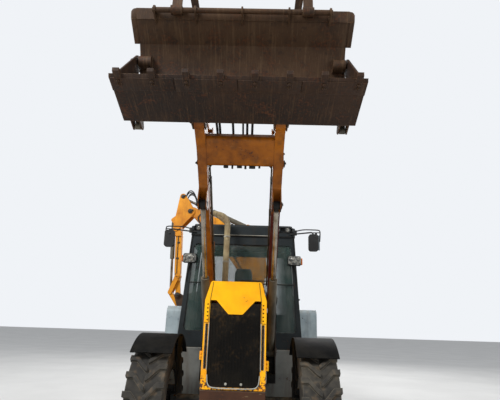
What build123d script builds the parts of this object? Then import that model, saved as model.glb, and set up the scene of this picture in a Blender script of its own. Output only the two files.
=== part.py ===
"""Backhoe loader at its real size, parked with the loader raised and the backhoe folded across the rear.

Millimetres, +Z up, the machine faces -Y and its left side is +X.  Places are given from the datum, which
lies on the ground under the middle of the front axle: (across, rearward, up).  A side outline is drawn
in (rearward, up), or in (along, above) from a pivot whose first axis points forward and climbs by an angle.
A corner of an outline is (x, y) or (x, y, corner radius).
"""
from build123d import *
from math import asin, atan2, cos, degrees, hypot, radians, sin
import os

os.makedirs("parts", exist_ok=True)

# Where the datum lies from the middle of the whole machine's footprint
datum_across = 220
datum_rearward = -742

# Wheels and axles
wheelbase = 2220
tyre_radius = 700
tyre_width = 440
carcass_radius = 666
lug_count = 18
lug_wide = 60
lug_sweep = 76
wheel_offset = 955
rim_radius = 355
rim_width = 330
rim_wall = 18
disc_thick = 24
disc_inset = 55
king_pin_across = 800
steering_lock = 18
hub_radius = 95
spindle_radius = 60

# Clearances
pin_play = 0.3
side_play = 6
panel_gap = 6
seat_gap = 0.3

# Chassis
rail_across = 275
rail_wide = 46
rail_low = 640
rail_notch = 830
rail_high = 900
rail_rear_high = 1020
rail_front = -560
rear_frame = 2965
rear_frame_deep = 90

# Loader arms
arm_across = 445
arm_wide = 110
arm_pivot = (780, 1950)
bucket_pivot = (-1350, 3728)
lift_foot = (800, 1240)
ear_thick = 14
lift_drop = 79
lift_pin = (1764, -119)
lift_bore = 42
lift_wall = 13
lift_rod = 31
lift_barrel_length = 1215
lift_rod_length = 1180
tower_pin = 35
arm_end_radius = 88

# Bucket tilt linkage, in the loader arm's own axes
tilt_foot = (720, 360)
lever_pivot = (2150, 220)
lever_link_pin = (2391, 605)
lever_rod_pin = (2148, 480)
tilt_barrel_radius = 50
tilt_rod_radius = 28
tilt_barrel_length = 1090
tilt_rod_length = 700

# Loader bucket, in its own axes from the heel of its back blade
bucket_tilt = 18.3
bucket_pin_place = (-140, 150)
link_pin_place = (-120, 550)
blade_thick = 14
blade_width = 2300
jaw_overhang = 60
bucket_width = blade_width + 2 * jaw_overhang
blade_bulge = (-5, 420)
blade_top = (300, 900)
lip_foot = (560, 985)
lip_top = (625, 1075)
jaw_pivot = (170, 740)
jaw_lever_pin = (-80, 850)
jaw_ram_foot = (-150, 60)
jaw_ram_across = blade_width / 2 - 40
jaw_barrel_long = 440
jaw_rod_long = 425
floor_length = 583
floor_thick = 16
tooth_count = 8
tooth_pitch = (bucket_width - 166) / (tooth_count - 1)
fork_axle = (645, 1010)
fork_axle_radius = 28
fork_axle_half = blade_width / 2 - 220
fork_across = fork_axle_half - 230
fork_wide = 100
fork_shank = 1020
fork_tine = 1080
fork_thick = 42
fork_fold = 165

# Hood and nose
nose_front = -650
hood_rear = 590
hood_half = 350
hood_top_half = 288
hood_shoulder = 1855
nose_top = 2070
hood_rear_top = 2130
nose_low = 925
side_panel_low = 1290
sheet = 12
grille_half = 285
grille_low = 950
grille_depth = 30
lower_nose_low = 420
tow_pin_radius = 20

# Cab
cab_front = 945
cab_rear = 2450
cab_low = 1270
cab_high = 2940
cab_low_half = 925
cab_high_half = 806
cab_wall = 45
cab_well = 1470
roof_high = 3120
roof_half = 822
roof_overhang = 20
door_front = 1010
door_step = 1345
door_rear = 1850
door_step_high = 1905
door_high = 2880
glass_thick = 8

# Rear fenders
fender_inner = 935
fender_outer = 1225
fender_front = 1555
fender_low = 1390
fender_high = 1870
fender_thick = 40

# Backhoe, in (outward, up) from the swing axis
king_across = 470
king_rearward = 3430
side_shift = 940
king_hub_radius = 90
boom_foot = (140, 1350)
boom_tip = (1720, 3950)
boom_wide = 230
boom_ram_foot = (-170, 1600)
boom_ram_pin = (-30, 2700)
dipper_ram_foot = (450, 3640)
dipper_head_pin = (1900, 4280)
bucket_ram_foot = (2090, 3760)
hoe_lever_pivot = (1900, 2550)
hoe_bucket_pivot = (1870, 2150)
hoe_bucket_wide = 460
hoe_bucket_turn = 165
hoe_link_pin = (1792, 1860)
hoe_lever_pin = (2032, 2206)
stabilizer_across = 1025
stabilizer_square = 150
stabilizer_low = 330
stabilizer_high = 1430
pad_low = 270

datum = Vector(datum_across, datum_rearward, 0)
centre = Plane.YZ.offset(datum_across)


def side(across):
    """The plane of a side outline in (rearward, up)."""
    return Plane(datum + Vector(across, 0, 0), x_dir=(0, 1, 0), z_dir=(1, 0, 0))


def swung(across, pivot, climb):
    """The plane of a side outline in (along, above) from a pivot, climbing forward."""
    ahead = (0, -cos(radians(climb)), sin(radians(climb)))
    return Plane(datum + Vector(across, *pivot), x_dir=ahead, z_dir=(-1, 0, 0))


def front(rearward):
    """The plane of a front outline in (across, up), facing forward."""
    return Plane(datum + Vector(0, rearward, 0), x_dir=(1, 0, 0), z_dir=(0, -1, 0))


def level(up):
    """The plane of a plan outline in (across, rearward)."""
    return Plane(datum + Vector(0, 0, up))


def hoe(rearward):
    """The plane of a backhoe outline in (outward, up) from the swing axis, outward being to the right."""
    place = datum + Vector(king_across, king_rearward + rearward, 0)
    return Plane(place, x_dir=(-1, 0, 0), z_dir=(0, 1, 0))


def placed(pivot, climb, along, above):
    """Where a point given in (along, above) from a pivot lies in (rearward, up)."""
    turn = radians(climb)
    return (pivot[0] - along * cos(turn) + above * sin(turn), pivot[1] + along * sin(turn) + above * cos(turn))


def section(plane, corners):
    """A closed outline on a plane, with the corners rounded that give a radius."""
    with BuildSketch(plane) as face:
        with BuildLine():
            FilletPolyline(
                *[corner[:2] for corner in corners],
                radius=[corner[2] if len(corner) > 2 else 0 for corner in corners],
                close=True,
            )
        make_face()
    return face.sketch


def plate(plane, corners, thick, mode=Mode.ADD):
    """A plate of a given outline."""
    extrude(section(plane, corners), amount=thick, mode=mode)


def web(plane, circles, thick, mode=Mode.ADD):
    """A plate whose outline is a belt around circles, each (x, y, radius)."""
    with BuildSketch(plane) as face:
        for x, y, radius in circles:
            with Locations((x, y)):
                Circle(radius)
        make_hull()
    extrude(face.sketch, amount=thick, mode=mode)


def disc(plane, place, radius, thick, mode=Mode.ADD):
    """A boss, a pin or, when subtracted, a bore."""
    with BuildSketch(plane) as face:
        with Locations(place):
            Circle(radius)
    extrude(face.sketch, amount=thick, mode=mode)


def block(across, rearward, up, mode=Mode.ADD):
    """A block between two places in each direction."""
    with BuildSketch(level(up[0])) as face:
        with Locations(((across[0] + across[1]) / 2, (rearward[0] + rearward[1]) / 2)):
            Rectangle(across[1] - across[0], rearward[1] - rearward[0])
    extrude(face.sketch, amount=up[1] - up[0], mode=mode)


def bar(start, end, radius, mode=Mode.ADD):
    """A round bar between two places in (across, rearward, up)."""
    run = Vector(*end) - Vector(*start)
    with BuildSketch(Plane(datum + Vector(*start), z_dir=run)) as face:
        Circle(radius)
    extrude(face.sketch, amount=run.length, mode=mode)


def between(start, end, distance):
    """The place at a distance from the start on the way to the end."""
    run = Vector(*end) - Vector(*start)
    return tuple(Vector(*start) + run.normalized() * distance)


def barrel(foot, tip, radius, wall, length, rod, eye, eye_plane, eye_place, eye_wide, pin):
    """A cylinder's barrel on a narrow neck behind its foot eye: hollow, with a gland around the rod."""
    bar(between(foot, tip, eye * 0.6), between(foot, tip, eye + 20), min(eye_wide * 0.45, radius))
    bar(between(foot, tip, eye + 14), between(foot, tip, length), radius)
    disc(eye_plane, eye_place, eye, eye_wide)
    disc(eye_plane, eye_place, pin + pin_play, eye_wide, Mode.SUBTRACT)
    bar(between(foot, tip, eye + 14 + wall), between(foot, tip, length - 2 * wall), radius - wall, Mode.SUBTRACT)
    bar(between(foot, tip, eye + 14 + wall), between(foot, tip, length), rod + pin_play, Mode.SUBTRACT)


def piston_rod(foot, tip, radius, length, eye, eye_plane, eye_place, eye_wide, pin):
    """A cylinder's rod with the eye at its tip."""
    reach = (Vector(*tip) - Vector(*foot)).length
    bar(between(foot, tip, reach - length), between(foot, tip, reach - eye * 0.6), radius)
    disc(eye_plane, eye_place, eye, eye_wide)
    disc(eye_plane, eye_place, pin, eye_wide, Mode.SUBTRACT)


arm_reach = hypot(bucket_pivot[0] - arm_pivot[0], bucket_pivot[1] - arm_pivot[1])
arm_climb = degrees(asin((bucket_pivot[1] - arm_pivot[1]) / arm_reach))
arm_inner = arm_across - arm_wide / 2
arm_outer = arm_across + arm_wide / 2
ear_inner = arm_inner - side_play - ear_thick
ear_outer = arm_outer + side_play
heel = placed(bucket_pivot, bucket_tilt, -bucket_pin_place[0], -bucket_pin_place[1])
rim_half = rim_width / 2


def arm_side(across):
    return swung(across, arm_pivot, arm_climb)


def bucket_side(across):
    return swung(across, heel, bucket_tilt)


def on_arm(across, place):
    return (across, *placed(arm_pivot, arm_climb, *place))


def on_bucket(across, place):
    return (across, *placed(heel, bucket_tilt, *place))


def on_hoe(sideways, place):
    return (king_across - place[0], king_rearward + sideways, place[1])


# Chassis: two rails, the loader towers and the cross-members
tower_rear = 905
tower_front = 640
rear_frame_half = 930
axle_hold = 110
axle_hold_low = 765
with BuildPart() as chassis:
    plate(
        side(rail_across - rail_wide / 2),
        [
            (rail_front, rail_notch),
            (330, rail_notch, 40),
            (400, rail_low, 40),
            (wheelbase - 440, rail_low, 40),
            (wheelbase - 360, rail_notch, 40),
            (wheelbase + 360, rail_notch, 40),
            (wheelbase + 440, rail_low, 40),
            (rear_frame, rail_low),
            (rear_frame, rail_rear_high),
            (1300, rail_rear_high, 60),
            (1100, rail_high, 60),
            (rail_front, rail_high),
        ],
        rail_wide,
    )
    for ear in (ear_inner, ear_outer):
        web(
            side(ear),
            [(*arm_pivot, 125), (*lift_foot, 105), (tower_front + 30, rail_low + 240, 30), (tower_rear - 30, rail_low + 240, 30)],
            ear_thick,
        )
    for pivot, pin in ((arm_pivot, tower_pin), (lift_foot, tower_pin)):
        disc(side(ear_inner - 10), pivot, pin, ear_outer + ear_thick + 10 - (ear_inner - 10))
    block((ear_inner, ear_outer + ear_thick), (tower_rear - 16, tower_rear), (rail_low + 210, 1780))
    block((rail_across - 10, ear_outer + ear_thick), (tower_front, tower_rear), (rail_low + 210, rail_low + 320))
    block((-10, rail_across), (rail_front, rail_front + 160), (rail_notch, rail_high))
    for rearward in (-axle_hold - 70, axle_hold):
        block((-10, rail_across), (rearward, rearward + 70), (axle_hold_low, rail_high))
    for rearward in (1040, 2300):
        block((rail_across - 40, rail_across + rail_wide / 2), (rearward, rearward + 110), (rail_high - 20, cab_low - seat_gap))
    block((-10, rail_across), (tower_front + 30, tower_rear - 30), (rail_low, rail_low + 160))
    block((-10, rail_across), (1480, 1620), (rail_low, rail_low + 160))
    mirror(about=centre)
chassis.part.label = "chassis"
export_step(chassis.part, "parts/chassis.step")

# Rear frame: cross-bars, posts and the stabilizers' tubes, bolted to the rails' ends
with BuildPart() as rear_crossframe:
    for low, high in ((380, 520), (1080, 1220)):
        block((-10, rear_frame_half), (rear_frame, rear_frame + rear_frame_deep), (low, high))
    block((rail_across - 60, rail_across + 60), (rear_frame, rear_frame + rear_frame_deep - 20), (500, 1100))
    block(
        (rear_frame_half - 40, rear_frame_half + 25),
        (rear_frame, rear_frame + rear_frame_deep),
        (380, 1220),
    )
    block(
        (stabilizer_across - stabilizer_square / 2, stabilizer_across + stabilizer_square / 2),
        (rear_frame - 20, rear_frame - 20 + stabilizer_square),
        (stabilizer_low, stabilizer_high),
    )
    block(
        (stabilizer_across - stabilizer_square / 2 + 14, stabilizer_across + stabilizer_square / 2 - 14),
        (rear_frame - 6, rear_frame - 34 + stabilizer_square),
        (stabilizer_low, stabilizer_high - 14),
        Mode.SUBTRACT,
    )
    mirror(about=centre)
rear_crossframe.part.label = "rear_frame"
export_step(rear_crossframe.part, "parts/rear_frame.step")

# Engine: one block, with the radiator that shows through the grille
with BuildPart() as engine:
    block((-rail_across + 40, rail_across - 40), (-330, 560), (rail_high + 20, 1850))
    block((-hood_half + 60, hood_half - 60), (nose_front + 120, nose_front + 210), (nose_low + 25, 1830))
    block((-rail_across + 60, rail_across - 60), (nose_front + 205, -325), (1000, 1300))
    for rearward in (nose_front + 125, -100, 420):
        for hand in (-1, 1):
            block(
                (hand * rail_across - 50, hand * rail_across + 20) if hand > 0 else (-rail_across - 20, -rail_across + 50),
                (rearward, rearward + 80),
                (rail_high + seat_gap, rail_high + 90),
            )
engine.part.label = "engine"
export_step(engine.part, "parts/engine.step")

# Lower nose: the casting below the grille, with a jaw for the towing pin
nose_jaw = (560, 640)
nose_jaw_half = 70
with BuildPart() as lower_nose:
    plate(
        side(-hood_half),
        [
            (nose_front, lower_nose_low + 90, 40),
            (nose_front + 70, lower_nose_low, 30),
            (rail_front - seat_gap, lower_nose_low),
            (rail_front - seat_gap, nose_low - panel_gap),
            (nose_front, nose_low - panel_gap, 12),
        ],
        2 * hood_half,
    )
    block((-nose_jaw_half, nose_jaw_half), (nose_front - 1, nose_front + 75), nose_jaw, Mode.SUBTRACT)
    block((-nose_jaw_half, nose_jaw_half), (nose_front - 1, nose_front + 75), (lower_nose_low - 1, nose_jaw[0] - 60), Mode.SUBTRACT)
    disc(level(nose_jaw[0] - 60), (0, nose_front + 40), tow_pin_radius, nose_jaw[1] - nose_jaw[0] + 120, Mode.SUBTRACT)
lower_nose.part.label = "lower_nose"
export_step(lower_nose.part, "parts/lower_nose.step")

# Hood: a hollow sheet cover that lifts at its rear hinge, with the grille opening in its nose


def hood_section(rearward, top, inset):
    half, shoulder = hood_half - inset, hood_shoulder - inset * 0.4
    top_half = hood_top_half - inset * 0.6
    return section(
        front(rearward),
        [
            (-half, nose_low - (20 if inset else 0)),
            (half, nose_low - (20 if inset else 0)),
            (half, shoulder, 30),
            (top_half, top - inset, 30),
            (-top_half, top - inset, 30),
            (-half, shoulder, 30),
        ],
    )


notch_half = 80
slot_across = (300, 326)
slot_up = (1130, 1600)
vent_count = 5
vent_pitch = 42
vent_radius = 8
hood_hinge = (hood_rear + 14, hood_rear_top + 22)
with BuildPart() as hood:
    loft([hood_section(nose_front, nose_top, 0), hood_section(hood_rear, hood_rear_top, 0)])
    loft(
        [hood_section(nose_front + sheet, nose_top, sheet), hood_section(hood_rear + 1, hood_rear_top, sheet)],
        mode=Mode.SUBTRACT,
    )
    plate(
        side(-hood_half - 1),
        [
            (nose_front + 130, nose_low - 30),
            (nose_front + 230, side_panel_low, 60),
            (hood_rear + 2, side_panel_low),
            (hood_rear + 2, nose_low - 30),
        ],
        2 * hood_half + 2,
        Mode.SUBTRACT,
    )
    plate(
        front(nose_front + sheet + 1),
        [
            (-grille_half, grille_low, 45),
            (grille_half, grille_low, 45),
            (grille_half, hood_shoulder),
            (grille_half - 65, hood_shoulder),
            (notch_half, 1705, 20),
            (-notch_half, 1705, 20),
            (-grille_half + 65, hood_shoulder),
            (-grille_half, hood_shoulder),
        ],
        sheet + 2,
        Mode.SUBTRACT,
    )
    for hand in (-1, 1):
        near, far = hand * slot_across[0], hand * slot_across[1]
        plate(
            front(nose_front + sheet + 1),
            [(near, slot_up[0], 9), (far, slot_up[0], 9), (far, slot_up[1], 9), (near, slot_up[1], 9)],
            sheet + 2,
            Mode.SUBTRACT,
        )
        for hole in range(vent_count):
            disc(
                front(nose_front + sheet + 1),
                ((near + far) / 2, slot_up[1] + (hole + 1) * vent_pitch),
                vent_radius,
                sheet + 2,
                Mode.SUBTRACT,
            )
    for across in (-200, 200):
        web(side(across - 20), [(*hood_hinge, 16), (hood_rear - 40, hood_rear_top - 6, 10)], 40)
        disc(side(across - 21), hood_hinge, 8 + pin_play, 42, Mode.SUBTRACT)
hood.part.label = "hood"
export_step(hood.part, "parts/hood.step")

# Grille: a screen behind the nose opening, with upright ribs in the opening
rib_count = 17
rib_pitch = 32
rib_thick = 6
rib_up = (grille_low + 30, 1690)
with BuildPart() as grille:
    plate(
        front(nose_front + sheet + grille_depth),
        [
            (-hood_half + sheet + 4, nose_low + 8, 30),
            (hood_half - sheet - 4, nose_low + 8, 30),
            (hood_half - sheet - 4, hood_shoulder - 30),
            (-hood_half + sheet + 4, hood_shoulder - 30),
        ],
        grille_depth - 0.3,
    )
    for rib in range(rib_count):
        across = (rib - (rib_count - 1) / 2) * rib_pitch
        block((across - rib_thick / 2, across + rib_thick / 2), (nose_front + 4, nose_front + sheet + 1), rib_up)
grille.part.label = "grille"
export_step(grille.part, "parts/grille.step")

# Cowl between the hood and the cab: carries the hood's hinge and the exhaust
cowl_half = 345
cowl_rear = cab_front - 8
cowl_top = hood_rear_top - 10
exhaust_across = -235
exhaust_rearward = hood_rear + 140
exhaust_radius = 34
with BuildPart() as cowl:
    block((-cowl_half, cowl_half), (hood_rear + panel_gap, cowl_rear), (side_panel_low, cowl_top))
    block((-cowl_half + sheet, cowl_half - sheet), (hood_rear + panel_gap + sheet, cowl_rear - sheet), (side_panel_low - 1, cowl_top - sheet), Mode.SUBTRACT)
    for hand in (-1, 1):
        leg = (cowl_half - 60, cowl_half) if hand > 0 else (-cowl_half, -cowl_half + 60)
        block(leg, (tower_front + 40, tower_rear - 40), (rail_low + 320 + seat_gap, side_panel_low + 60))
    block((-cowl_half + 1, exhaust_across + 70), (exhaust_rearward - 60, exhaust_rearward + 60), (1300, 1320))
    disc(level(cowl_top - 2 * sheet), (exhaust_across, exhaust_rearward), exhaust_radius + 1, 3 * sheet, Mode.SUBTRACT)
    for across in (-200, 200):
        for ear in (across - 40, across + 26):
            web(side(ear), [(*hood_hinge, 16), (hood_rear + panel_gap + 20, cowl_top - 8, 8), (hood_rear + panel_gap + 50, cowl_top - 8, 8)], 14)
        disc(side(across - 40), hood_hinge, 8, 80)
cowl.part.label = "cowl"
export_step(cowl.part, "parts/cowl.step")

# Exhaust: a stack through the cowl in front of the windscreen
with BuildPart() as exhaust:
    with BuildSketch(level(1320 + seat_gap)) as stack:
        with Locations((exhaust_across, exhaust_rearward)):
            Circle(exhaust_radius)
    with BuildLine() as stack_line:
        FilletPolyline(
            datum + Vector(exhaust_across, exhaust_rearward, 1320 + seat_gap),
            datum + Vector(exhaust_across, exhaust_rearward, 3080),
            datum + Vector(exhaust_across - 160, exhaust_rearward + 10, 3210),
            datum + Vector(exhaust_across - 260, exhaust_rearward + 14, 3240),
            radius=110,
        )
    sweep(stack.sketch, path=stack_line.wires()[0])
    disc(level(1700), (exhaust_across, exhaust_rearward), 62, 330)
exhaust.part.label = "exhaust"
export_step(exhaust.part, "parts/exhaust.step")

# Front axle: an oscillating beam held between the rails, with a fork at each end for the knuckle
hub_up = tyre_radius
fork_open = 128
fork_ear = 50
king_pin_radius = 22
steer_arm_rearward = 215
tie_rod_radius = 20
with BuildPart() as front_axle:
    bar((0, 0, hub_up), (king_pin_across - 110, 0, hub_up), 82)
    block((king_pin_across - 111, king_pin_across - 60), (-45, 45), (hub_up - 60, hub_up + 60))
    disc(level(hub_up - 150), (0, 0), 150, 205)
    block((king_pin_across - 70, king_pin_across - 32), (-45, 45), (hub_up - fork_open - fork_ear, hub_up + fork_open + fork_ear))
    for low in (hub_up - fork_open - fork_ear, hub_up + fork_open):
        block((king_pin_across - 60, king_pin_across + 40), (-45, 45), (low, low + fork_ear))
        disc(level(low), (king_pin_across, 0), king_pin_radius + pin_play, fork_ear, Mode.SUBTRACT)
    block((-10, rail_across - rail_wide / 2 - 4), (-axle_hold + seat_gap, axle_hold - seat_gap), (hub_up + 20, rail_high - 10))
    bar((-1, steer_arm_rearward, hub_up), (300, steer_arm_rearward, hub_up), 42)
    block((90, 190), (40, steer_arm_rearward), (hub_up - 30, hub_up + 30))
    bar((-1, steer_arm_rearward, hub_up), (301, steer_arm_rearward, hub_up), tie_rod_radius + pin_play, Mode.SUBTRACT)
    mirror(about=centre)
front_axle.part.label = "front_axle"
export_step(front_axle.part, "parts/front_axle.step")

# Rear axle: a rigid beam with a hub spindle at each end
with BuildPart() as rear_axle:
    bar((0, wheelbase, hub_up), (wheel_offset - 120, wheelbase, hub_up), 92)
    disc(level(hub_up - 170), (0, wheelbase), 180, 340)
    bar((wheel_offset - 120, wheelbase, hub_up), (wheel_offset + disc_inset - disc_thick / 2 - 0.5, wheelbase, hub_up), 140)
    bar((wheel_offset, wheelbase, hub_up), (wheel_offset + disc_inset + 70, wheelbase, hub_up), spindle_radius)
    block((rail_across - rail_wide / 2 - 20, rail_across + rail_wide / 2 + 40), (wheelbase - 110, wheelbase + 110), (hub_up - 130, rail_notch - seat_gap))
    mirror(about=centre)
rear_axle.part.label = "rear_axle"
export_step(rear_axle.part, "parts/rear_axle.step")

# Steering knuckles with their mudguards; the king pin stands in the fork's bores
guard_inner = tyre_radius + 55
guard_outer = guard_inner + 14
guard_across = (700, 1180)
guard_front = 42
guard_rear = 46
steer_arm_across = 735
steer_arm_up = 645
sides = (("left", 1), ("right", -1))


def guard_place(radius, angle):
    """A place (rearward, up) around the front hub, the angle leaning rearward from straight up."""
    return (radius * sin(radians(angle)), hub_up + radius * cos(radians(angle)))


for name, hand in sides:
    with BuildPart() as knuckle:
        block((king_pin_across, king_pin_across + 45), (-55, 55), (hub_up - fork_open + 5, hub_up + fork_open - 5))
        disc(level(hub_up - fork_open + 5), (king_pin_across, 0), 27, 2 * (fork_open - 5))
        bar((king_pin_across + 30, 0, hub_up), (wheel_offset + disc_inset - disc_thick / 2 - seat_gap, 0, hub_up), hub_radius)
        bar((wheel_offset, 0, hub_up), (wheel_offset + disc_inset + 70, 0, hub_up), spindle_radius)
        disc(level(hub_up - fork_open - fork_ear), (king_pin_across, 0), king_pin_radius, 2 * (fork_open + fork_ear))
        web(
            level(steer_arm_up),
            [(king_pin_across + 22, 40, 22), (steer_arm_across, steer_arm_rearward, 24)],
            22,
        )
        with BuildSketch(side(guard_across[0])) as guard:
            with BuildLine():
                outer = ThreePointArc(guard_place(guard_outer, -guard_front), guard_place(guard_outer, 0), guard_place(guard_outer, guard_rear))
                Line(outer @ 1, guard_place(guard_inner, guard_rear))
                inner = ThreePointArc(guard_place(guard_inner, guard_rear), guard_place(guard_inner, 0), guard_place(guard_inner, -guard_front))
                Line(inner @ 1, outer @ 0)
            make_face()
        extrude(guard.sketch, amount=guard_across[1] - guard_across[0])
        plate(
            side(guard_across[0]),
            [(-105, 790), (-82, 790), (-60, 900, 60), (170, hub_up + 740), (-170, hub_up + 740), (-130, 900, 60)],
            12,
        )
        block((guard_across[0], king_pin_across + 45), (-105, -82), (790, 822))
        block((king_pin_across, king_pin_across + 45), (-105, -50), (790, 822))
        if hand < 0:
            mirror(about=centre, mode=Mode.REPLACE)
    knuckle.part.label = "knuckle_" + name
    export_step(knuckle.part, "parts/knuckle_" + name + ".step")

# Wheels: a rim with its disc, and a tyre around it, its lugs leaning towards the way the wheel rolls forward
lug_foot = carcass_radius - 14
lug_top = (tyre_radius**2 - (lug_sweep - 8) ** 2) ** 0.5
lug_first = degrees(asin((lug_sweep - 8) / tyre_radius))
axles = (("front", 0), ("rear", wheelbase))
for axle_name, rearward in axles:
    for name, hand in sides:
        hub_plane = Plane(datum + Vector(hand * wheel_offset, rearward, hub_up), x_dir=(hand, 0, 0), z_dir=(0, -hand, 0))
        with BuildPart() as rim:
            with BuildSketch(hub_plane) as rim_half_section:
                with BuildLine():
                    Polyline(
                        (-rim_half, rim_radius),
                        (-rim_half, rim_radius - rim_wall),
                        (disc_inset - disc_thick / 2, rim_radius - rim_wall),
                        (disc_inset - disc_thick / 2, spindle_radius + pin_play),
                        (disc_inset + disc_thick / 2 + 40, spindle_radius + pin_play),
                        (disc_inset + disc_thick / 2 + 40, 130),
                        (disc_inset + disc_thick / 2, 150),
                        (disc_inset + disc_thick / 2, rim_radius - rim_wall),
                        (rim_half, rim_radius - rim_wall),
                        (rim_half, rim_radius),
                        close=True,
                    )
                make_face()
            revolve(rim_half_section.sketch, axis=Axis(hub_plane.origin, hub_plane.x_dir))
        rim.part.label = "rim_" + axle_name + "_" + name
        export_step(rim.part, "parts/rim_" + axle_name + "_" + name + ".step")
        with BuildPart() as tyre:
            with BuildSketch(hub_plane) as tyre_section:
                with BuildLine():
                    half = tyre_width / 2
                    Polyline(
                        (-rim_half + 15, rim_radius + 0.3),
                        (-half + 15, rim_radius + 60),
                        (-half, rim_radius + 160),
                        (-half + 18, carcass_radius - 36),
                        (-half + 50, carcass_radius),
                        (half - 50, carcass_radius),
                        (half - 18, carcass_radius - 36),
                        (half, rim_radius + 160),
                        (half - 15, rim_radius + 60),
                        (rim_half - 15, rim_radius + 0.3),
                        close=True,
                    )
                make_face()
            revolve(tyre_section.sketch, axis=Axis(hub_plane.origin, hub_plane.x_dir))
            for row in (-1, 1):
                for lug in range(lug_count):
                    turn = radians(lug_first + (lug + (row + 1) / 4) * 360 / lug_count)
                    outward = Vector(0, -sin(turn), -cos(turn))
                    foot = hub_plane.origin + outward * lug_foot
                    with BuildSketch(Plane(foot, x_dir=(1, 0, 0), z_dir=outward)) as lug_face:
                        with BuildLine():
                            Polyline(
                                (row * (half - 14), lug_sweep - 8),
                                (row * (half - 14), lug_sweep - 8 - lug_wide),
                                (-row * 12, -lug_sweep + 8),
                                (-row * 12, -lug_sweep + 8 + lug_wide),
                                close=True,
                            )
                        make_face()
                    extrude(lug_face.sketch, amount=lug_top - lug_foot)
        tyre.part.label = "tyre_" + axle_name + "_" + name
        export_step(tyre.part, "parts/tyre_" + axle_name + "_" + name + ".step")

# Tie rod with its piston: slides across in the axle's steering cylinder
with BuildPart() as tie_rod:
    bar((-steer_arm_across, steer_arm_rearward, hub_up), (steer_arm_across, steer_arm_rearward, hub_up), tie_rod_radius)
    for hand in (-1, 1):
        disc(level(hub_up - 24), (hand * steer_arm_across, steer_arm_rearward), 26, 48)
tie_rod.part.label = "tie_rod"
export_step(tie_rod.part, "parts/tie_rod.step")

# Cab: a hollow frame with its windows cut, split where the doors, roof and glass meet it


def cab_half(up):
    """Half the cab's outer width at a height."""
    return cab_low_half + (cab_high_half - cab_low_half) * (up - cab_low) / (cab_high - cab_low)


def cab_box(low, high, inset, mode=Mode.ADD):
    """The cab's tapered box between two heights, set in by a wall."""
    rows = []
    for up in (low, high):
        with BuildSketch(level(up)) as row:
            with Locations((0, (cab_front + cab_rear) / 2)):
                Rectangle(2 * cab_half(up) - 2 * inset, cab_rear - cab_front - 2 * inset)
        rows.append(row.sketch)
    loft(rows, mode=mode)


door_outline = [
    (door_front, cab_low + 40, 20),
    (door_step, cab_low + 40, 40),
    (door_step, door_step_high, 60),
    (door_rear, door_step_high, 30),
    (door_rear, door_high, 40),
    (door_front, door_high, 60),
]
quarter_window = [
    (door_rear + 75, 1960, 40),
    (cab_rear - 90, 1960, 40),
    (cab_rear - 90, door_high, 40),
    (door_rear + 75, door_high, 40),
]


def hinge_at(up):
    """A point of the door's hinge axis, which leans with the wall."""
    return (cab_half(up) + hinge_out, door_rear + panel_gap / 2, up)


def hinge_bars(hand, low, high, radius, mode=Mode.ADD):
    """The hinge's round pieces between two heights, at both of its places."""
    for up in hinge_ups:
        ends = [(hand * place[0], place[1], place[2]) for place in (hinge_at(up + low), hinge_at(up + high))]
        bar(ends[0], ends[1], radius, mode)


def grown(corners, gap):
    """An outline in (rearward, up) moved out by a gap on all its straight sides."""
    return offset(section(side(0), corners), amount=gap, kind=Kind.INTERSECTION, mode=Mode.PRIVATE)


hinge_out = 8
hinge_ups = (2020, 2740)
hinge_eye = 15
with BuildPart() as cab_frame:
    cab_box(cab_low, cab_high, 0)
    cab_box(cab_low + 40, cab_high + 1, cab_wall, Mode.SUBTRACT)
    block((-cab_low_half - 1, cab_low_half + 1), (1500, cab_rear + 1), (cab_low - 1, cab_low + 20), Mode.SUBTRACT)
    for hand in (1, -1):
        across = (700, cab_low_half + 5) if hand > 0 else (-cab_low_half - 5, -700)
        block(across, (1490, cab_rear + 1), (cab_low - 1, cab_well), Mode.SUBTRACT)
        block((min(hand * 694, hand * (cab_low_half - 60)), max(hand * 694, hand * (cab_low_half - 60))), (1482, cab_rear - 20), (cab_well + 1, cab_well + 25))
    extrude(grown(door_outline, panel_gap), amount=1000, both=True, mode=Mode.SUBTRACT)
    plate(side(-1000), quarter_window, 2000, Mode.SUBTRACT)
    plate(
        front(cab_front + cab_wall + 5),
        [
            (-cab_half(1500) + 70, 1500, 60),
            (cab_half(1500) - 70, 1500, 60),
            (cab_half(2800) - 62, 2800, 60),
            (-cab_half(2800) + 62, 2800, 60),
        ],
        cab_wall + 10,
        Mode.SUBTRACT,
    )
    plate(
        front(cab_rear + 5),
        [
            (-cab_half(1800) + 80, 1800, 60),
            (cab_half(1800) - 80, 1800, 60),
            (cab_half(2840) - 70, 2840, 60),
            (-cab_half(2840) + 70, 2840, 60),
        ],
        cab_wall + 10,
        Mode.SUBTRACT,
    )
    for hand in (-1, 1):
        hinge_bars(hand, -1, 51, hinge_eye + 3, Mode.SUBTRACT)
        hinge_bars(hand, -30, -1, hinge_eye)
        hinge_bars(hand, 51, 80, hinge_eye)
        hinge_bars(hand, -30, 80, hinge_eye / 2)
cab_frame.part.label = "cab_frame"
export_step(cab_frame.part, "parts/cab_frame.step")

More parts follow.
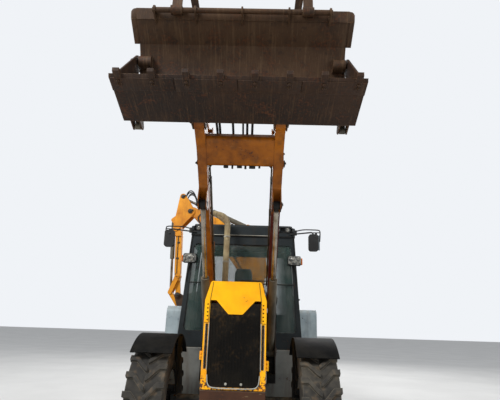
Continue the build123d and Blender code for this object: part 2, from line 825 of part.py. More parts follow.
with BuildPart() as cab_roof:
    with BuildSketch(level(cab_high)) as roof_low:
        with Locations((0, (cab_front + cab_rear) / 2)):
            RectangleRounded(2 * roof_half, cab_rear - cab_front + 2 * roof_overhang, 70)
    extrude(roof_low.sketch, amount=roof_high - cab_high - 40)
    with BuildSketch(level(roof_high - 40)) as roof_step:
        with Locations((0, (cab_front + cab_rear) / 2)):
            RectangleRounded(2 * roof_half - 60, cab_rear - cab_front - 20, 70)
    extrude(roof_step.sketch, amount=40, taper=20)
    for hand in (-1, 1):
        pocket = (min(hand * 470, hand * 775), max(hand * 470, hand * 775))
        block(pocket, (cab_front - roof_overhang - 1, cab_front + 60), (roof_high - 120, roof_high - 30), Mode.SUBTRACT)
cab_roof.part.label = "cab_roof"
export_step(cab_roof.part, "parts/cab_roof.step")

# Fixed glass: windscreen, rear window and quarter lights, each seated in its opening
with BuildPart() as cab_glass:
    for rearward, low, high, inset in ((cab_front + 30, 1500, 2800, 66), (cab_rear - 30 + glass_thick, 1800, 2840, 76)):
        plate(
            front(rearward),
            [
                (-cab_half(low) + inset + 5, low + 0.5, 60),
                (cab_half(low) - inset - 5, low + 0.5, 60),
                (cab_half(high) - inset + 3, high - 0.5, 60),
                (-cab_half(high) + inset - 3, high - 0.5, 60),
            ],
            glass_thick,
        )
cab_glass.part.label = "cab_glass"
export_step(cab_glass.part, "parts/cab_glass.step")

# Doors: the same wall inside the door's outline, with its window cut
for name, hand in sides:
    with BuildPart() as door:
        cab_box(cab_low, cab_high, 0)
        cab_box(cab_low - 1, cab_high + 1, cab_wall, Mode.SUBTRACT)
        extrude(section(side(0), door_outline), amount=hand * 1000, mode=Mode.INTERSECT)
        plate(
            side(hand * 500),
            [
                (door_front + 55, cab_low + 330, 40),
                (door_step - 55, cab_low + 330, 40),
                (door_step - 55, door_step_high + 55, 40),
                (door_rear - 60, door_step_high + 55, 40),
                (door_rear - 60, door_high - 60, 40),
                (door_front + 55, door_high - 60, 60),
            ],
            hand * 500,
            Mode.SUBTRACT,
        )
        hinge_bars(hand, -32, -0.5, hinge_eye + 3, Mode.SUBTRACT)
        hinge_bars(hand, 50.5, 82, hinge_eye + 3, Mode.SUBTRACT)
        hinge_bars(hand, 0, 50, hinge_eye)
        hinge_bars(hand, -1, 51, hinge_eye / 2 + pin_play, Mode.SUBTRACT)
    door.part.label = "door_" + name
    export_step(door.part, "parts/door_" + name + ".step")

# Cab interior: floor, console and steering column
with BuildPart() as cab_interior:
    block((-640, 640), (cab_front + cab_wall + 1, cab_rear - cab_wall - 1), (cab_low + 40 + seat_gap, cab_low + 75))
    plate(
        side(-180),
        [(cab_front + 60, cab_low + 74), (cab_front + 330, cab_low + 74), (cab_front + 260, 1900, 60), (cab_front + 60, 1960, 40)],
        360,
    )
    bar((0, cab_front + 230, 1850), (0, cab_front + 330, 2080), 30)
    with BuildSketch(Plane(datum + Vector(0, cab_front + 330, 2080), z_dir=(0, 0.4, 0.92))) as wheel:
        Circle(190)
        Circle(164, mode=Mode.SUBTRACT)
        Rectangle(340, 34)
        Rectangle(34, 340)
    extrude(wheel.sketch, amount=26)
cab_interior.part.label = "cab_interior"
export_step(cab_interior.part, "parts/cab_interior.step")

# Seat on its pedestal
seat_rearward = 1700
with BuildPart() as seat:
    block((-150, 150), (seat_rearward - 150, seat_rearward + 150), (cab_low + 75 + seat_gap, 1720))
    plate(side(-240), [(seat_rearward - 260, 1719, 40), (seat_rearward + 240, 1719, 30), (seat_rearward + 240, 1860, 50), (seat_rearward - 260, 1870, 60)], 480)
    plate(side(-210), [(seat_rearward + 180, 1840, 30), (seat_rearward + 290, 1840, 30), (seat_rearward + 370, 2620, 50), (seat_rearward + 270, 2620, 50)], 420)
seat.part.label = "seat"
export_step(seat.part, "parts/seat.step")

# Rear fenders over the rear wheels
fender_rear = rear_frame + 25
fender_seat = stabilizer_high + seat_gap
with BuildPart() as rear_fenders:
    plate(
        side(fender_inner),
        [
            (fender_front, fender_low),
            (fender_front, fender_high - 60, 60),
            (fender_front + 90, fender_high, 60),
            (fender_rear - 200, fender_high, 90),
            (fender_rear - 20, fender_high - 200, 90),
            (fender_rear, fender_seat),
            (fender_rear - fender_thick, fender_seat),
            (fender_rear - 20 - fender_thick, fender_high - 200, 60),
            (fender_rear - 215, fender_high - fender_thick, 60),
            (fender_front + 100, fender_high - fender_thick, 40),
            (fender_front + fender_thick, fender_high - 90, 40),
            (fender_front + fender_thick, fender_low),
        ],
        fender_outer - fender_inner,
    )
    block((cab_half(1475) + seat_gap, fender_inner + 5), (fender_front, fender_front + fender_thick), (1475, 1500))
    mirror(about=centre)
rear_fenders.part.label = "rear_fenders"
export_step(rear_fenders.part, "parts/rear_fenders.step")

# Tanks with steps between the wheels
tank_outer = 853
with BuildPart() as tanks:
    plate(
        side(rail_across + rail_wide / 2 + 0.3),
        [(cab_front - 10, 560, 60), (1440, 560, 60), (1440, cab_low - 0.3, 20), (cab_front - 10, cab_low - 0.3, 20)],
        tank_outer - rail_across - rail_wide / 2,
    )
    block((tank_outer - 1, tank_outer + 180), (1010, 1400), (600, 630))
    mirror(about=centre)
tanks.part.label = "tanks"
export_step(tanks.part, "parts/tanks.step")

# Mirrors on arms from the roof's front corners
with BuildPart() as mirrors:
    for hand, reach, height in ((1, 1100, 2890), (-1, 1140, 2900)):
        corner = (hand * (roof_half - 85), cab_front - roof_overhang - 11.3, 2975)
        outer = (hand * (reach - 10), cab_front - 120, 3000)
        with BuildLine() as arm_line:
            FilletPolyline(
                datum + Vector(*corner),
                datum + Vector(*outer),
                datum + Vector(outer[0], outer[1], height - 60),
                radius=40,
            )
        with BuildSketch(Plane(datum + Vector(*corner), z_dir=Vector(*outer) - Vector(*corner))) as arm_end:
            Circle(11)
        sweep(arm_end.sketch, path=arm_line.wires()[0])
        with BuildSketch(front(cab_front - 112)) as head:
            with Locations((hand * (reach - 15), height - 60)):
                RectangleRounded(150, 260, 40)
        extrude(head.sketch, amount=60)
mirrors.part.label = "mirrors"
export_step(mirrors.part, "parts/mirrors.step")

# Lamps: round ones in the roof's pockets and a pair beside the windscreen
with BuildPart() as lamps:
    for hand in (-1, 1):
        for across in (540, 700):
            bar((hand * across, cab_front + 59.7, roof_high - 75), (hand * across, cab_front - roof_overhang - 6, roof_high - 75), 38)
        with BuildSketch(front(cab_front - 0.3)) as head_lamp:
            with Locations((hand * 800, 2560)):
                RectangleRounded(190, 130, 40)
        extrude(head_lamp.sketch, amount=90)
lamps.part.label = "lamps"
export_step(lamps.part, "parts/lamps.step")

# Loader arms: two box arms welded to a cross box
with BuildPart() as loader_arms:
    plate(
        arm_side(arm_outer),
        [
            (-40, -80, 40),
            (700, -5, 200),
            (1645, -15),
            (1685, -150, 30),
            (1770, -215, 60),
            (1880, -150, 30),
            (1930, -10, 40),
            (2450, 0, 200),
            (2790, -75, 30),
            (2815, 70, 30),
            (2560, 240, 120),
            (2300, 262, 60),
            (1500, 262, 200),
            (600, 200, 300),
            (-60, 85, 40),
        ],
        arm_wide,
    )
    disc(arm_side(arm_outer), (0, 0), 110, arm_wide)
    disc(arm_side(arm_outer), (arm_reach, 0), arm_end_radius, arm_wide)
    disc(arm_side(arm_outer), lever_pivot, 75, arm_wide)
    web(arm_side(arm_outer), [(*tilt_foot, 55), (560, 180, 20), (745, 200, 20)], arm_wide)
    web(arm_side(arm_outer - 22), [(*tilt_foot, 90), (820, 395, 60)], arm_wide - 44, Mode.SUBTRACT)
    plate(
        arm_side(arm_outer - lift_wall),
        [(1560, -16), (1560, -110), (1670, -230), (1900, -230), (1960, -110), (1960, -16)],
        arm_wide - 2 * lift_wall,
        Mode.SUBTRACT,
    )
    for place, pin in (((0, 0), tower_pin), ((arm_reach, 0), tower_pin), (lever_pivot, 30)):
        disc(arm_side(arm_outer + 1), place, pin + pin_play, arm_wide + 2, Mode.SUBTRACT)
    disc(arm_side(arm_outer + 1), lift_pin, 32, arm_wide + 2, Mode.SUBTRACT)
    for across in (arm_outer - 22, arm_inner):
        disc(arm_side(across + 22), tilt_foot, 26, 22)
    disc(arm_side(arm_outer), tilt_foot, 26, arm_wide)
    plate(
        arm_side(arm_inner + 1),
        [(2200, 2, 50), (2592, 2, 50), (2575, 150, 40), (2220, 150, 40)],
        arm_inner + 2,
    )
    mirror(about=centre)
loader_arms.part.label = "loader_arms"
export_step(loader_arms.part, "parts/loader_arms.step")

# Lift cylinders: foot on the tower, rod eye between the arm's ears
lift_eye = 52
lift_foot_place = (arm_across, *lift_foot)
lift_tip = on_arm(arm_across, lift_pin)
with BuildPart() as lift_barrels:
    barrel(lift_foot_place, lift_tip, lift_bore + lift_wall, lift_wall, lift_barrel_length, lift_rod, 62,
           side(arm_inner), lift_foot, arm_wide, tower_pin)
    mirror(about=centre)
lift_barrels.part.label = "lift_barrels"
export_step(lift_barrels.part, "parts/lift_barrels.step")
with BuildPart() as lift_rods:
    piston_rod(lift_foot_place, lift_tip, lift_rod, lift_rod_length, lift_eye,
               side(arm_across - 36), lift_tip[1:], 72, 30)
    mirror(about=centre)
lift_rods.part.label = "lift_rods"
export_step(lift_rods.part, "parts/lift_rods.step")

# Tilt cylinders above the arms
tilt_foot_place = on_arm(arm_across, tilt_foot)
tilt_tip = on_arm(arm_across, lever_rod_pin)
with BuildPart() as tilt_barrels:
    barrel(tilt_foot_place, tilt_tip, tilt_barrel_radius, 11, tilt_barrel_length, tilt_rod_radius, 46,
           side(arm_across - 30), tilt_foot_place[1:], 60, 26)
    mirror(about=centre)
tilt_barrels.part.label = "tilt_barrels"
export_step(tilt_barrels.part, "parts/tilt_barrels.step")
with BuildPart() as tilt_rods:
    piston_rod(tilt_foot_place, tilt_tip, tilt_rod_radius, tilt_rod_length, 46,
               side(arm_across - 32), tilt_tip[1:], 64, 26)
    mirror(about=centre)
tilt_rods.part.label = "tilt_rods"
export_step(tilt_rods.part, "parts/tilt_rods.step")

# Bellcranks: a pair of plates around each arm, joined by their pins
with BuildPart() as bellcranks:
    for ear in (ear_inner, ear_outer):
        web(arm_side(ear + ear_thick), [(*lever_pivot, 62), (*lever_link_pin, 44), (*lever_rod_pin, 48)], ear_thick)
    disc(arm_side(ear_outer + ear_thick + 4), lever_pivot, 30, arm_wide + 2 * side_play + 2 * ear_thick + 8)
    disc(arm_side(ear_outer + ear_thick), lever_link_pin, 25, arm_wide + 2 * side_play + 2 * ear_thick)
    mirror(about=centre)
bellcranks.part.label = "bellcranks"
export_step(bellcranks.part, "parts/bellcranks.step")

# Tilt links from the bellcranks to the bucket
link_pin = placed(heel, bucket_tilt, *link_pin_place)
tilt_link_tip = (-(link_pin[0] - arm_pivot[0]), link_pin[1] - arm_pivot[1])
turn = radians(arm_climb)
tilt_link_tip = (
    tilt_link_tip[0] * cos(turn) + tilt_link_tip[1] * sin(turn),
    -tilt_link_tip[0] * sin(turn) + tilt_link_tip[1] * cos(turn),
)
with BuildPart() as tilt_links:
    web(arm_side(arm_across + 30), [(*lever_link_pin, 42), (*tilt_link_tip, 42)], 60)
    disc(arm_side(arm_across + 31), lever_link_pin, 25 + pin_play, 62, Mode.SUBTRACT)
    disc(arm_side(arm_across + 31), tilt_link_tip, 25, 62, Mode.SUBTRACT)
    mirror(about=centre)
tilt_links.part.label = "tilt_links"
export_step(tilt_links.part, "parts/tilt_links.step")

# Loader bucket: the back blade with its lip, the ears for arms and links and the jaw's pivots
with BuildPart() as bucket:
    with BuildSketch(bucket_side(blade_width / 2)) as blade:
        with BuildLine():
            ThreePointArc((0, 0), blade_bulge, blade_top)
            Line(blade_top, lip_foot)
            Line(lip_foot, lip_top)
            Line(lip_top, (lip_top[0] - blade_thick, lip_top[1] + 4))
            Line((lip_top[0] - blade_thick, lip_top[1] + 4), (lip_foot[0] - blade_thick, lip_foot[1] + blade_thick))
            Line((lip_foot[0] - blade_thick, lip_foot[1] + blade_thick), (blade_top[0] - 6, blade_top[1] + blade_thick))
            ThreePointArc(
                (blade_top[0] - 6, blade_top[1] + blade_thick),
                (blade_bulge[0] - blade_thick, blade_bulge[1] + 5),
                (-blade_thick, 0),
            )
            Line((-blade_thick, 0), (0, 0))
        make_face()
    extrude(blade.sketch, amount=blade_width)
    for hand in (-1, 1):
        for ear in (ear_inner, ear_outer):
            across = ear + ear_thick if hand > 0 else -ear
            web(
                bucket_side(across),
                [(*bucket_pin_place, arm_end_radius), (*link_pin_place, 52), (-20, 60, 8), (-17, 560, 8)],
                ear_thick,
            )
        across = ear_outer + ear_thick + 3 if hand > 0 else -ear_inner + 3
        disc(bucket_side(across), bucket_pin_place, tower_pin, arm_wide + 2 * side_play + 2 * ear_thick + 6)
        across = blade_width / 2 if hand > 0 else -blade_width / 2 + 140
        disc(bucket_side(across), jaw_pivot, 72, 140)
        across = bucket_width / 2 if hand > 0 else -blade_width / 2 + 1
        disc(bucket_side(across), jaw_pivot, 30, (bucket_width - blade_width) / 2 + 1)
        for ear in (-52, 40):
            web(bucket_side(hand * jaw_ram_across + ear + 12), [(*jaw_ram_foot, 38), (-20, 30, 8), (-20, 190, 8)], 12)
        disc(bucket_side(hand * jaw_ram_across + 52), jaw_ram_foot, 20, 104)
    for across in (-fork_axle_half - 8, -500, 0, 500, fork_axle_half + 8):
        web(bucket_side(across + 9), [(*fork_axle, 46), (lip_foot[0] - 20, lip_foot[1] + 8, 6), (520, 960, 6)], 18)
    disc(bucket_side(fork_axle_half + 40), fork_axle, fork_axle_radius + pin_play, 2 * fork_axle_half + 80, Mode.SUBTRACT)
bucket.part.label = "bucket"
export_step(bucket.part, "parts/bucket.step")

# Jaw: floor, cutting edge with teeth, and the side plates that swing on the blade's pivots
jaw_plate = 20
jaw_side_across = blade_width / 2 + 15
with BuildPart() as jaw:
    plate(
        bucket_side(bucket_width / 2),
        [(12, 0), (12, -floor_thick - 8, 6), (420, -floor_thick - 8), (430, -40, 6), (590, -40, 6), (floor_length + 30, -14), (floor_length, 0)],
        bucket_width,
    )
    for hand in (-1, 1):
        across = hand * (jaw_side_across + jaw_plate / 2) + jaw_plate / 2
        web(bucket_side(across), [(*jaw_pivot, 78), (floor_length - 40, 20, 26), (40, 10, 20)], jaw_plate)
        web(bucket_side(across), [(*jaw_pivot, 60), (*jaw_lever_pin, 38)], jaw_plate)
        stub = jaw_side_across if hand > 0 else -jaw_side_across + 22
        disc(bucket_side(stub), jaw_lever_pin, 20, 22)
        bore = (jaw_side_across + jaw_plate + 1) if hand > 0 else -(jaw_side_across - 1)
        disc(bucket_side(bore), jaw_pivot, 30 + pin_play, jaw_plate + 2, Mode.SUBTRACT)
    for tooth in range(tooth_count):
        across = (tooth - (tooth_count - 1) / 2) * tooth_pitch
        plate(
            bucket_side(across + 30),
            [(500, 0), (500, 22, 8), (floor_length, 26, 10), (floor_length + 95, -8, 6), (floor_length + 80, -44, 6), (500, -56, 8), (500, -20)],
            60,
        )
jaw.part.label = "jaw"
export_step(jaw.part, "parts/jaw.step")

# Jaw cylinders behind the blade
jaw_foot_place = on_bucket(jaw_ram_across, jaw_ram_foot)
jaw_tip = on_bucket(jaw_ram_across, jaw_lever_pin)
with BuildPart() as jaw_barrels:
    barrel(jaw_foot_place, jaw_tip, 38, 9, jaw_barrel_long, 20, 34,
           side(jaw_ram_across - 30), jaw_foot_place[1:], 60, 20)
    mirror(about=centre)
jaw_barrels.part.label = "jaw_barrels"
export_step(jaw_barrels.part, "parts/jaw_barrels.step")
with BuildPart() as jaw_rods:
    piston_rod(jaw_foot_place, jaw_tip, 20, jaw_rod_long, 34, side(jaw_ram_across - 28), jaw_tip[1:], 52, 20)
    mirror(about=centre)
jaw_rods.part.label = "jaw_rods"
export_step(jaw_rods.part, "parts/jaw_rods.step")

# Forks: two tines on one axle, folded back over the bucket
fork_place = placed(heel, bucket_tilt, *fork_axle)
fork_climb = bucket_tilt + fork_fold


def fork_side(across):
    return swung(across, fork_place, fork_climb)


with BuildPart() as forks:
    disc(fork_side(fork_axle_half + 30), (0, 0), fork_axle_radius, 2 * fork_axle_half + 60)
    for hand in (-1, 1):
        across = hand * fork_across + fork_wide / 2
        plate(
            fork_side(across),
            [
                (-fork_thick / 2, 30, 15),
                (-fork_thick / 2, -fork_shank, 50),
                (fork_tine, -fork_shank, 6),
                (fork_tine, -fork_shank + 14, 6),
                (160, -fork_shank + fork_thick),
                (fork_thick / 2, -fork_shank + fork_thick, 40),
                (fork_thick / 2, 30, 15),
            ],
            fork_wide,
        )
        disc(fork_side(across + 10), (0, 0), 50, fork_wide + 20)
forks.part.label = "forks"
export_step(forks.part, "parts/forks.step")

# Backhoe carriage: a plate that slides on the rear frame, with the lugs that hold the kingpost
carriage_face = rear_frame + rear_frame_deep + seat_gap
carriage_half = 300
carriage_thick = 60
lug_thick = 90
lug_radius = 120
hub_low, hub_high = 655, 1145
with BuildPart() as carriage:
    block((king_across - carriage_half, king_across + carriage_half), (carriage_face, carriage_face + carriage_thick), (355, 1246))
    for low in (hub_low - 5 - lug_thick, hub_high + 5):
        disc(level(low), (king_across, king_rearward), lug_radius, lug_thick)
        block(
            (king_across - lug_radius, king_across + lug_radius),
            (carriage_face + carriage_thick - 1, king_rearward),
            (low, low + lug_thick),
        )
        disc(level(low), (king_across, king_rearward), 45 + pin_play, lug_thick, Mode.SUBTRACT)
    for low, high in ((355, 380 - seat_gap), (1220 + seat_gap, 1246)):
        block((king_across - carriage_half + 20, king_across + carriage_half - 20), (rear_frame + 30, carriage_face + 1), (low, high))
carriage.part.label = "carriage"
export_step(carriage.part, "parts/carriage.step")

# Kingpost: the hub between the lugs, the ears of the boom foot and those of the boom cylinder
king_ear = boom_wide / 2 + side_play
king_ear_thick = 26
with BuildPart() as kingpost:
    disc(level(hub_low), (king_across, king_rearward), king_hub_radius, hub_high - hub_low)
    disc(level(hub_low - 5 - lug_thick), (king_across, king_rearward), 45, hub_high - hub_low + 10 + 2 * lug_thick)
    block((king_across - 200, king_across - 40), (king_rearward - 70, king_rearward + 70), (hub_low + 20, hub_high - 20))
    block(
        (king_across - 260, king_across - 145),
        (king_rearward - king_ear - 1, king_rearward + king_ear + 1),
        (hub_low + 30, hub_high - 30),
    )
    for sideways in (-king_ear - king_ear_thick, king_ear):
        web(hoe(sideways), [(*boom_foot, 95), (*boom_ram_foot, 75)], king_ear_thick)
        web(hoe(sideways), [(205, boom_foot[1] - 30, 60), (205, hub_low + 100, 60)], king_ear_thick)
    for place, pin in ((boom_foot, 40), (boom_ram_foot, 34)):
        disc(hoe(-king_ear - king_ear_thick), place, pin, 2 * (king_ear + king_ear_thick))
kingpost.part.label = "kingpost"
export_step(kingpost.part, "parts/kingpost.step")

# Boom: a box with a bend, forked at the tip around the dipper
with BuildPart() as boom:
    plate(
        hoe(-boom_wide / 2),
        [
            (235, 1330, 60),
            (400, 1950, 400),
            (560, 2600, 200),
            (860, 3010, 150),
            (1650, 3850, 60),
            (1800, 3920, 60),
            (1760, 4040, 60),
            (1640, 4050, 60),
            (560, 3560, 200),
            (60, 3280, 300),
            (40, 2850, 200),
            (80, 2300, 200),
            (45, 1330, 60),
        ],
        boom_wide,
    )
    disc(hoe(-boom_wide / 2), boom_foot, 96, boom_wide)
    web(hoe(-boom_wide / 2), [(*boom_ram_pin, 60), (90, 2560, 20), (90, 2860, 20)], boom_wide)
    web(hoe(-46), [(-145, 2685, 62), (55, 2722, 62), (45, 2420, 45), (-145, 2420, 45)], 92, Mode.SUBTRACT)
    web(hoe(-80), [(*dipper_ram_foot, 60), (330, 3400, 20), (620, 3540, 20)], 160)
    web(hoe(-60), [(*dipper_ram_foot, 80), (600, 3720, 80)], 120, Mode.SUBTRACT)
    disc(hoe(-80), dipper_ram_foot, 30, 160)
    disc(hoe(-boom_wide / 2 - 1), boom_foot, 40 + pin_play, boom_wide + 2, Mode.SUBTRACT)
    disc(hoe(-boom_wide / 2 - 1), boom_tip, 38 + pin_play, boom_wide + 2, Mode.SUBTRACT)
boom.part.label = "boom"
export_step(boom.part, "parts/boom.step")

# Dipper: head plates around the boom's tip, and a tapering box down to the bucket
dipper_ear = boom_wide / 2 + side_play
with BuildPart() as dipper:
    for sideways in (-dipper_ear - 20, dipper_ear):
        web(hoe(sideways), [(*boom_tip, 100), (*dipper_head_pin, 70), (2010, 3560, 60)], 20)
    plate(
        hoe(-dipper_ear - 1),
        [(1915, 3840, 30), (2030, 3840, 30), (2012, 3400), (1880, 3400)],
        2 * dipper_ear + 2,
    )
    plate(
        hoe(-85),
        [(1880, 3500), (2012, 3500), (1972, 2650, 60), (1945, 2450), (1850, 2450), (1850, 2650, 200)],
        170,
    )
    plate(hoe(-38), [(1850, 2480), (1945, 2480), (1920, 2160), (1820, 2160)], 76)
    disc(hoe(-38), hoe_bucket_pivot, 56, 76)
    disc(hoe(-85), hoe_lever_pivot, 62, 170)
    web(hoe(-72), [(*bucket_ram_foot, 46), (2000, 3640, 30), (1990, 3860, 30)], 144)
    web(hoe(-52), [(*bucket_ram_foot, 62), (2095, 3560, 62)], 104, Mode.SUBTRACT)
    disc(hoe(-72), bucket_ram_foot, 24, 144)
    disc(hoe(-dipper_ear - 24), boom_tip, 38, 2 * dipper_ear + 48)
    disc(hoe(-40), hoe_bucket_pivot, 30 + pin_play, 80, Mode.SUBTRACT)
    disc(hoe(-86), hoe_lever_pivot, 26 + pin_play, 172, Mode.SUBTRACT)
dipper.part.label = "dipper"
export_step(dipper.part, "parts/dipper.step")

# Boom cylinder
boom_ram_base = on_hoe(0, boom_ram_foot)
boom_ram_tip = on_hoe(0, boom_ram_pin)
with BuildPart() as boom_barrel:
    barrel(boom_ram_base, boom_ram_tip, 60, 13, 900, 32, 66, hoe(-58), boom_ram_foot, 116, 34)
boom_barrel.part.label = "boom_barrel"
export_step(boom_barrel.part, "parts/boom_barrel.step")
with BuildPart() as boom_rod:
    piston_rod(boom_ram_base, boom_ram_tip, 32, 1000, 50, hoe(-38), boom_ram_pin, 76, 28)
boom_rod.part.label = "boom_rod"
export_step(boom_rod.part, "parts/boom_rod.step")

# Dipper cylinder
dipper_ram_base = on_hoe(0, dipper_ram_foot)
dipper_ram_tip = on_hoe(0, dipper_head_pin)
with BuildPart() as dipper_barrel:
    barrel(dipper_ram_base, dipper_ram_tip, 55, 12, 860, 30, 58, hoe(-55), dipper_ram_foot, 110, 30)
dipper_barrel.part.label = "dipper_barrel"
export_step(dipper_barrel.part, "parts/dipper_barrel.step")
with BuildPart() as dipper_rod:
    piston_rod(dipper_ram_base, dipper_ram_tip, 30, 870, 48, hoe(-35), dipper_head_pin, 70, 27)
dipper_rod.part.label = "dipper_rod"
export_step(dipper_rod.part, "parts/dipper_rod.step")

# Bucket cylinder of the backhoe, on the dipper's outer side
bucket_ram_base = on_hoe(0, bucket_ram_foot)
bucket_ram_tip = on_hoe(0, hoe_lever_pin)
with BuildPart() as bucket_barrel:
    barrel(bucket_ram_base, bucket_ram_tip, 46, 10, 840, 26, 46, hoe(-47), bucket_ram_foot, 94, 24)
bucket_barrel.part.label = "bucket_barrel"
export_step(bucket_barrel.part, "parts/bucket_barrel.step")
with BuildPart() as bucket_rod:
    piston_rod(bucket_ram_base, bucket_ram_tip, 26, 915, 42, hoe(-34), hoe_lever_pin, 68, 24)
bucket_rod.part.label = "bucket_rod"
export_step(bucket_rod.part, "parts/bucket_rod.step")

# Tipping lever and link of the backhoe's bucket
with BuildPart() as hoe_lever:
    for sideways in (-85 - side_play - 16, 85 + side_play):
        web(hoe(sideways), [(*hoe_lever_pivot, 48), (*hoe_lever_pin, 40)], 16)
    disc(hoe(-112), hoe_lever_pivot, 26, 224)
    for low, high in ((-107, -42), (42, 107)):
        disc(hoe(low), hoe_lever_pin, 22, high - low)
hoe_lever.part.label = "hoe_lever"
export_step(hoe_lever.part, "parts/hoe_lever.step")
with BuildPart() as hoe_link:
    for low in (-84, 44):
        web(hoe(low), [(*hoe_lever_pin, 38), (*hoe_link_pin, 38)], 40)
        disc(hoe(low - 1), hoe_lever_pin, 22 + pin_play, 42, Mode.SUBTRACT)
        disc(hoe(low - 1), hoe_link_pin, 22, 42, Mode.SUBTRACT)
hoe_link.part.label = "hoe_link"
export_step(hoe_link.part, "parts/hoe_link.step")

# Backhoe bucket, in (towards the teeth, towards the shell) from its pivot
scoop_turn = radians(hoe_bucket_turn)
scoop_shell = 14
scoop_teeth = 5


def scoop(sideways):
    place = datum + Vector(*on_hoe(sideways, hoe_bucket_pivot))
    return Plane(place, x_dir=(-cos(scoop_turn), 0, sin(scoop_turn)), z_dir=(0, 1, 0))


with BuildPart() as hoe_bucket:
    shells = (
        (-hoe_bucket_wide / 2, hoe_bucket_wide, Mode.ADD, (130, 40), (900, 20), (720, 330), (450, 470), (190, 330)),
        (
            -hoe_bucket_wide / 2 + scoop_shell,
            hoe_bucket_wide - 2 * scoop_shell,
            Mode.SUBTRACT,
            (130 + scoop_shell, 0),
            (900 - scoop_shell, 0),
            (720 - scoop_shell, 330 - scoop_shell / 2),
            (450, 470 - scoop_shell),
            (190 + scoop_shell, 330 - scoop_shell / 2),
        ),
    )
    for sideways, wide, mode, back, lip, toe, belly, heel_point in shells:
        with BuildSketch(scoop(sideways)) as shell:
            with BuildLine():
                Polyline(heel_point, back, lip, toe)
                ThreePointArc(toe, belly, heel_point)
            make_face()
        extrude(shell.sketch, amount=wide, mode=mode)
    for sideways in (-106, 90):
        web(scoop(sideways), [(0, 0, 60), (0, 300, 45), (160, 90, 20), (195, 300, 20)], 16)
    disc(scoop(-110), (0, 0), 30, 220)
    for tooth in range(scoop_teeth):
        sideways = (tooth - (scoop_teeth - 1) / 2) * (hoe_bucket_wide - 60) / (scoop_teeth - 1)
        plate(scoop(sideways - 25), [(800, 10), (800, 40), (900, 50, 10), (1010, 16, 5), (1010, 2, 5), (900, 0, 10)], 50)
hoe_bucket.part.label = "hoe_bucket"
export_step(hoe_bucket.part, "parts/hoe_bucket.step")

# Stabilizer legs: a post in the frame's tube and a pad
for name, hand in sides:
    with BuildPart() as stabilizer:
        block(
            (
                stabilizer_across - stabilizer_square / 2 + 14 + seat_gap,
                stabilizer_across + stabilizer_square / 2 - 14 - seat_gap,
            ),
            (rear_frame - 6 + seat_gap, rear_frame - 34 + stabilizer_square - seat_gap),
            (pad_low + 40, stabilizer_high - 60),
        )
        with BuildSketch(level(pad_low)) as pad:
            with Locations((stabilizer_across, rear_frame - 20 + stabilizer_square / 2)):
                RectangleRounded(300, 260, 40)
        extrude(pad.sketch, amount=45)
        if hand < 0:
            mirror(about=centre, mode=Mode.REPLACE)
    stabilizer.part.label = "stabilizer_" + name
    export_step(stabilizer.part, "parts/stabilizer_" + name + ".step")
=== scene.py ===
"""Looks of the backhoe loader: its finishes, its fittings and the studio it stands in.

Places are given as the part gives them, in millimetres from the datum under the front axle's middle:
(across, rearward, up).  place() turns them into metres in the row frame.
"""

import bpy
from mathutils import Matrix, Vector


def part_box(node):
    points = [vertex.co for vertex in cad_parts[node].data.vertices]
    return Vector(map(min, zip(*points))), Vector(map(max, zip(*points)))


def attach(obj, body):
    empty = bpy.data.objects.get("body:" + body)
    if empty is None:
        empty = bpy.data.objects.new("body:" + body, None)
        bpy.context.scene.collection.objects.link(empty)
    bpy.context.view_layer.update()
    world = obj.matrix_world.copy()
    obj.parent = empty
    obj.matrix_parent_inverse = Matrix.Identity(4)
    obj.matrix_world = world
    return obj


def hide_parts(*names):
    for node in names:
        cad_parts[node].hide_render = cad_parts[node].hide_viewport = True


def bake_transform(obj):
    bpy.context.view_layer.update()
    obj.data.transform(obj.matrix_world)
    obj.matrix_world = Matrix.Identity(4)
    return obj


bl_info = {
    "name": "Backhoe Loader Dressing",
    "version": (1, 0, 0),
    "blender": (4, 5, 0),
    "location": "3D View > Sidebar > Loader",
    "description": "Finishes, fittings and studio of a backhoe loader",
    "category": "Object",
}
import math

import bpy
from mathutils import Matrix, Quaternion, Vector

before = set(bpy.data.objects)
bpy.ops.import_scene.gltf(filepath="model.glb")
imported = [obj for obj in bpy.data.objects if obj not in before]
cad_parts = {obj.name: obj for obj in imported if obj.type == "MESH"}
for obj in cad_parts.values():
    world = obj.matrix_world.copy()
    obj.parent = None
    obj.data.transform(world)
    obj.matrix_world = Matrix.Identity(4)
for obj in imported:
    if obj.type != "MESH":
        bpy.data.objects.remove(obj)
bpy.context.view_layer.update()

DATUM = Vector((0.220, -0.742, 0.0))
LEFT, RIGHT = 1, -1


def place(across, rearward, up):
    """A place given in millimetres from the datum, in metres in the row frame."""
    return DATUM + Vector((across, rearward, up)) / 1000


# Where the part has its main pivots, and how steeply the arms and the bucket's floor stand at rest
ARM_PIVOT, ARM_CLIMB = (780, 1950), 39.853
HEEL, BUCKET_CLIMB = (-1530.0, 3629.5), 18.3
SWING_ACROSS, SWING_REARWARD = 470, 3430
LIFT_PIN = (1764, -119)

# Places that several fittings share, in millimetres; a crossing hose is (across, how far it sways)
PIPES_ACROSS = 375
CROSS_HOSES = ((-262, 0.8), (-232, 1.5), (-84, 0.7), (26, 1.3), (72, 0.9), (128, 1.6))
HOOD_FRONT = -650
NOSE_FRONT = -650
ROOF_LAMPS_ACROSS = (540, 700)
EXHAUST_PLACE = (-235, 730)
TOOTH_PITCH = 322

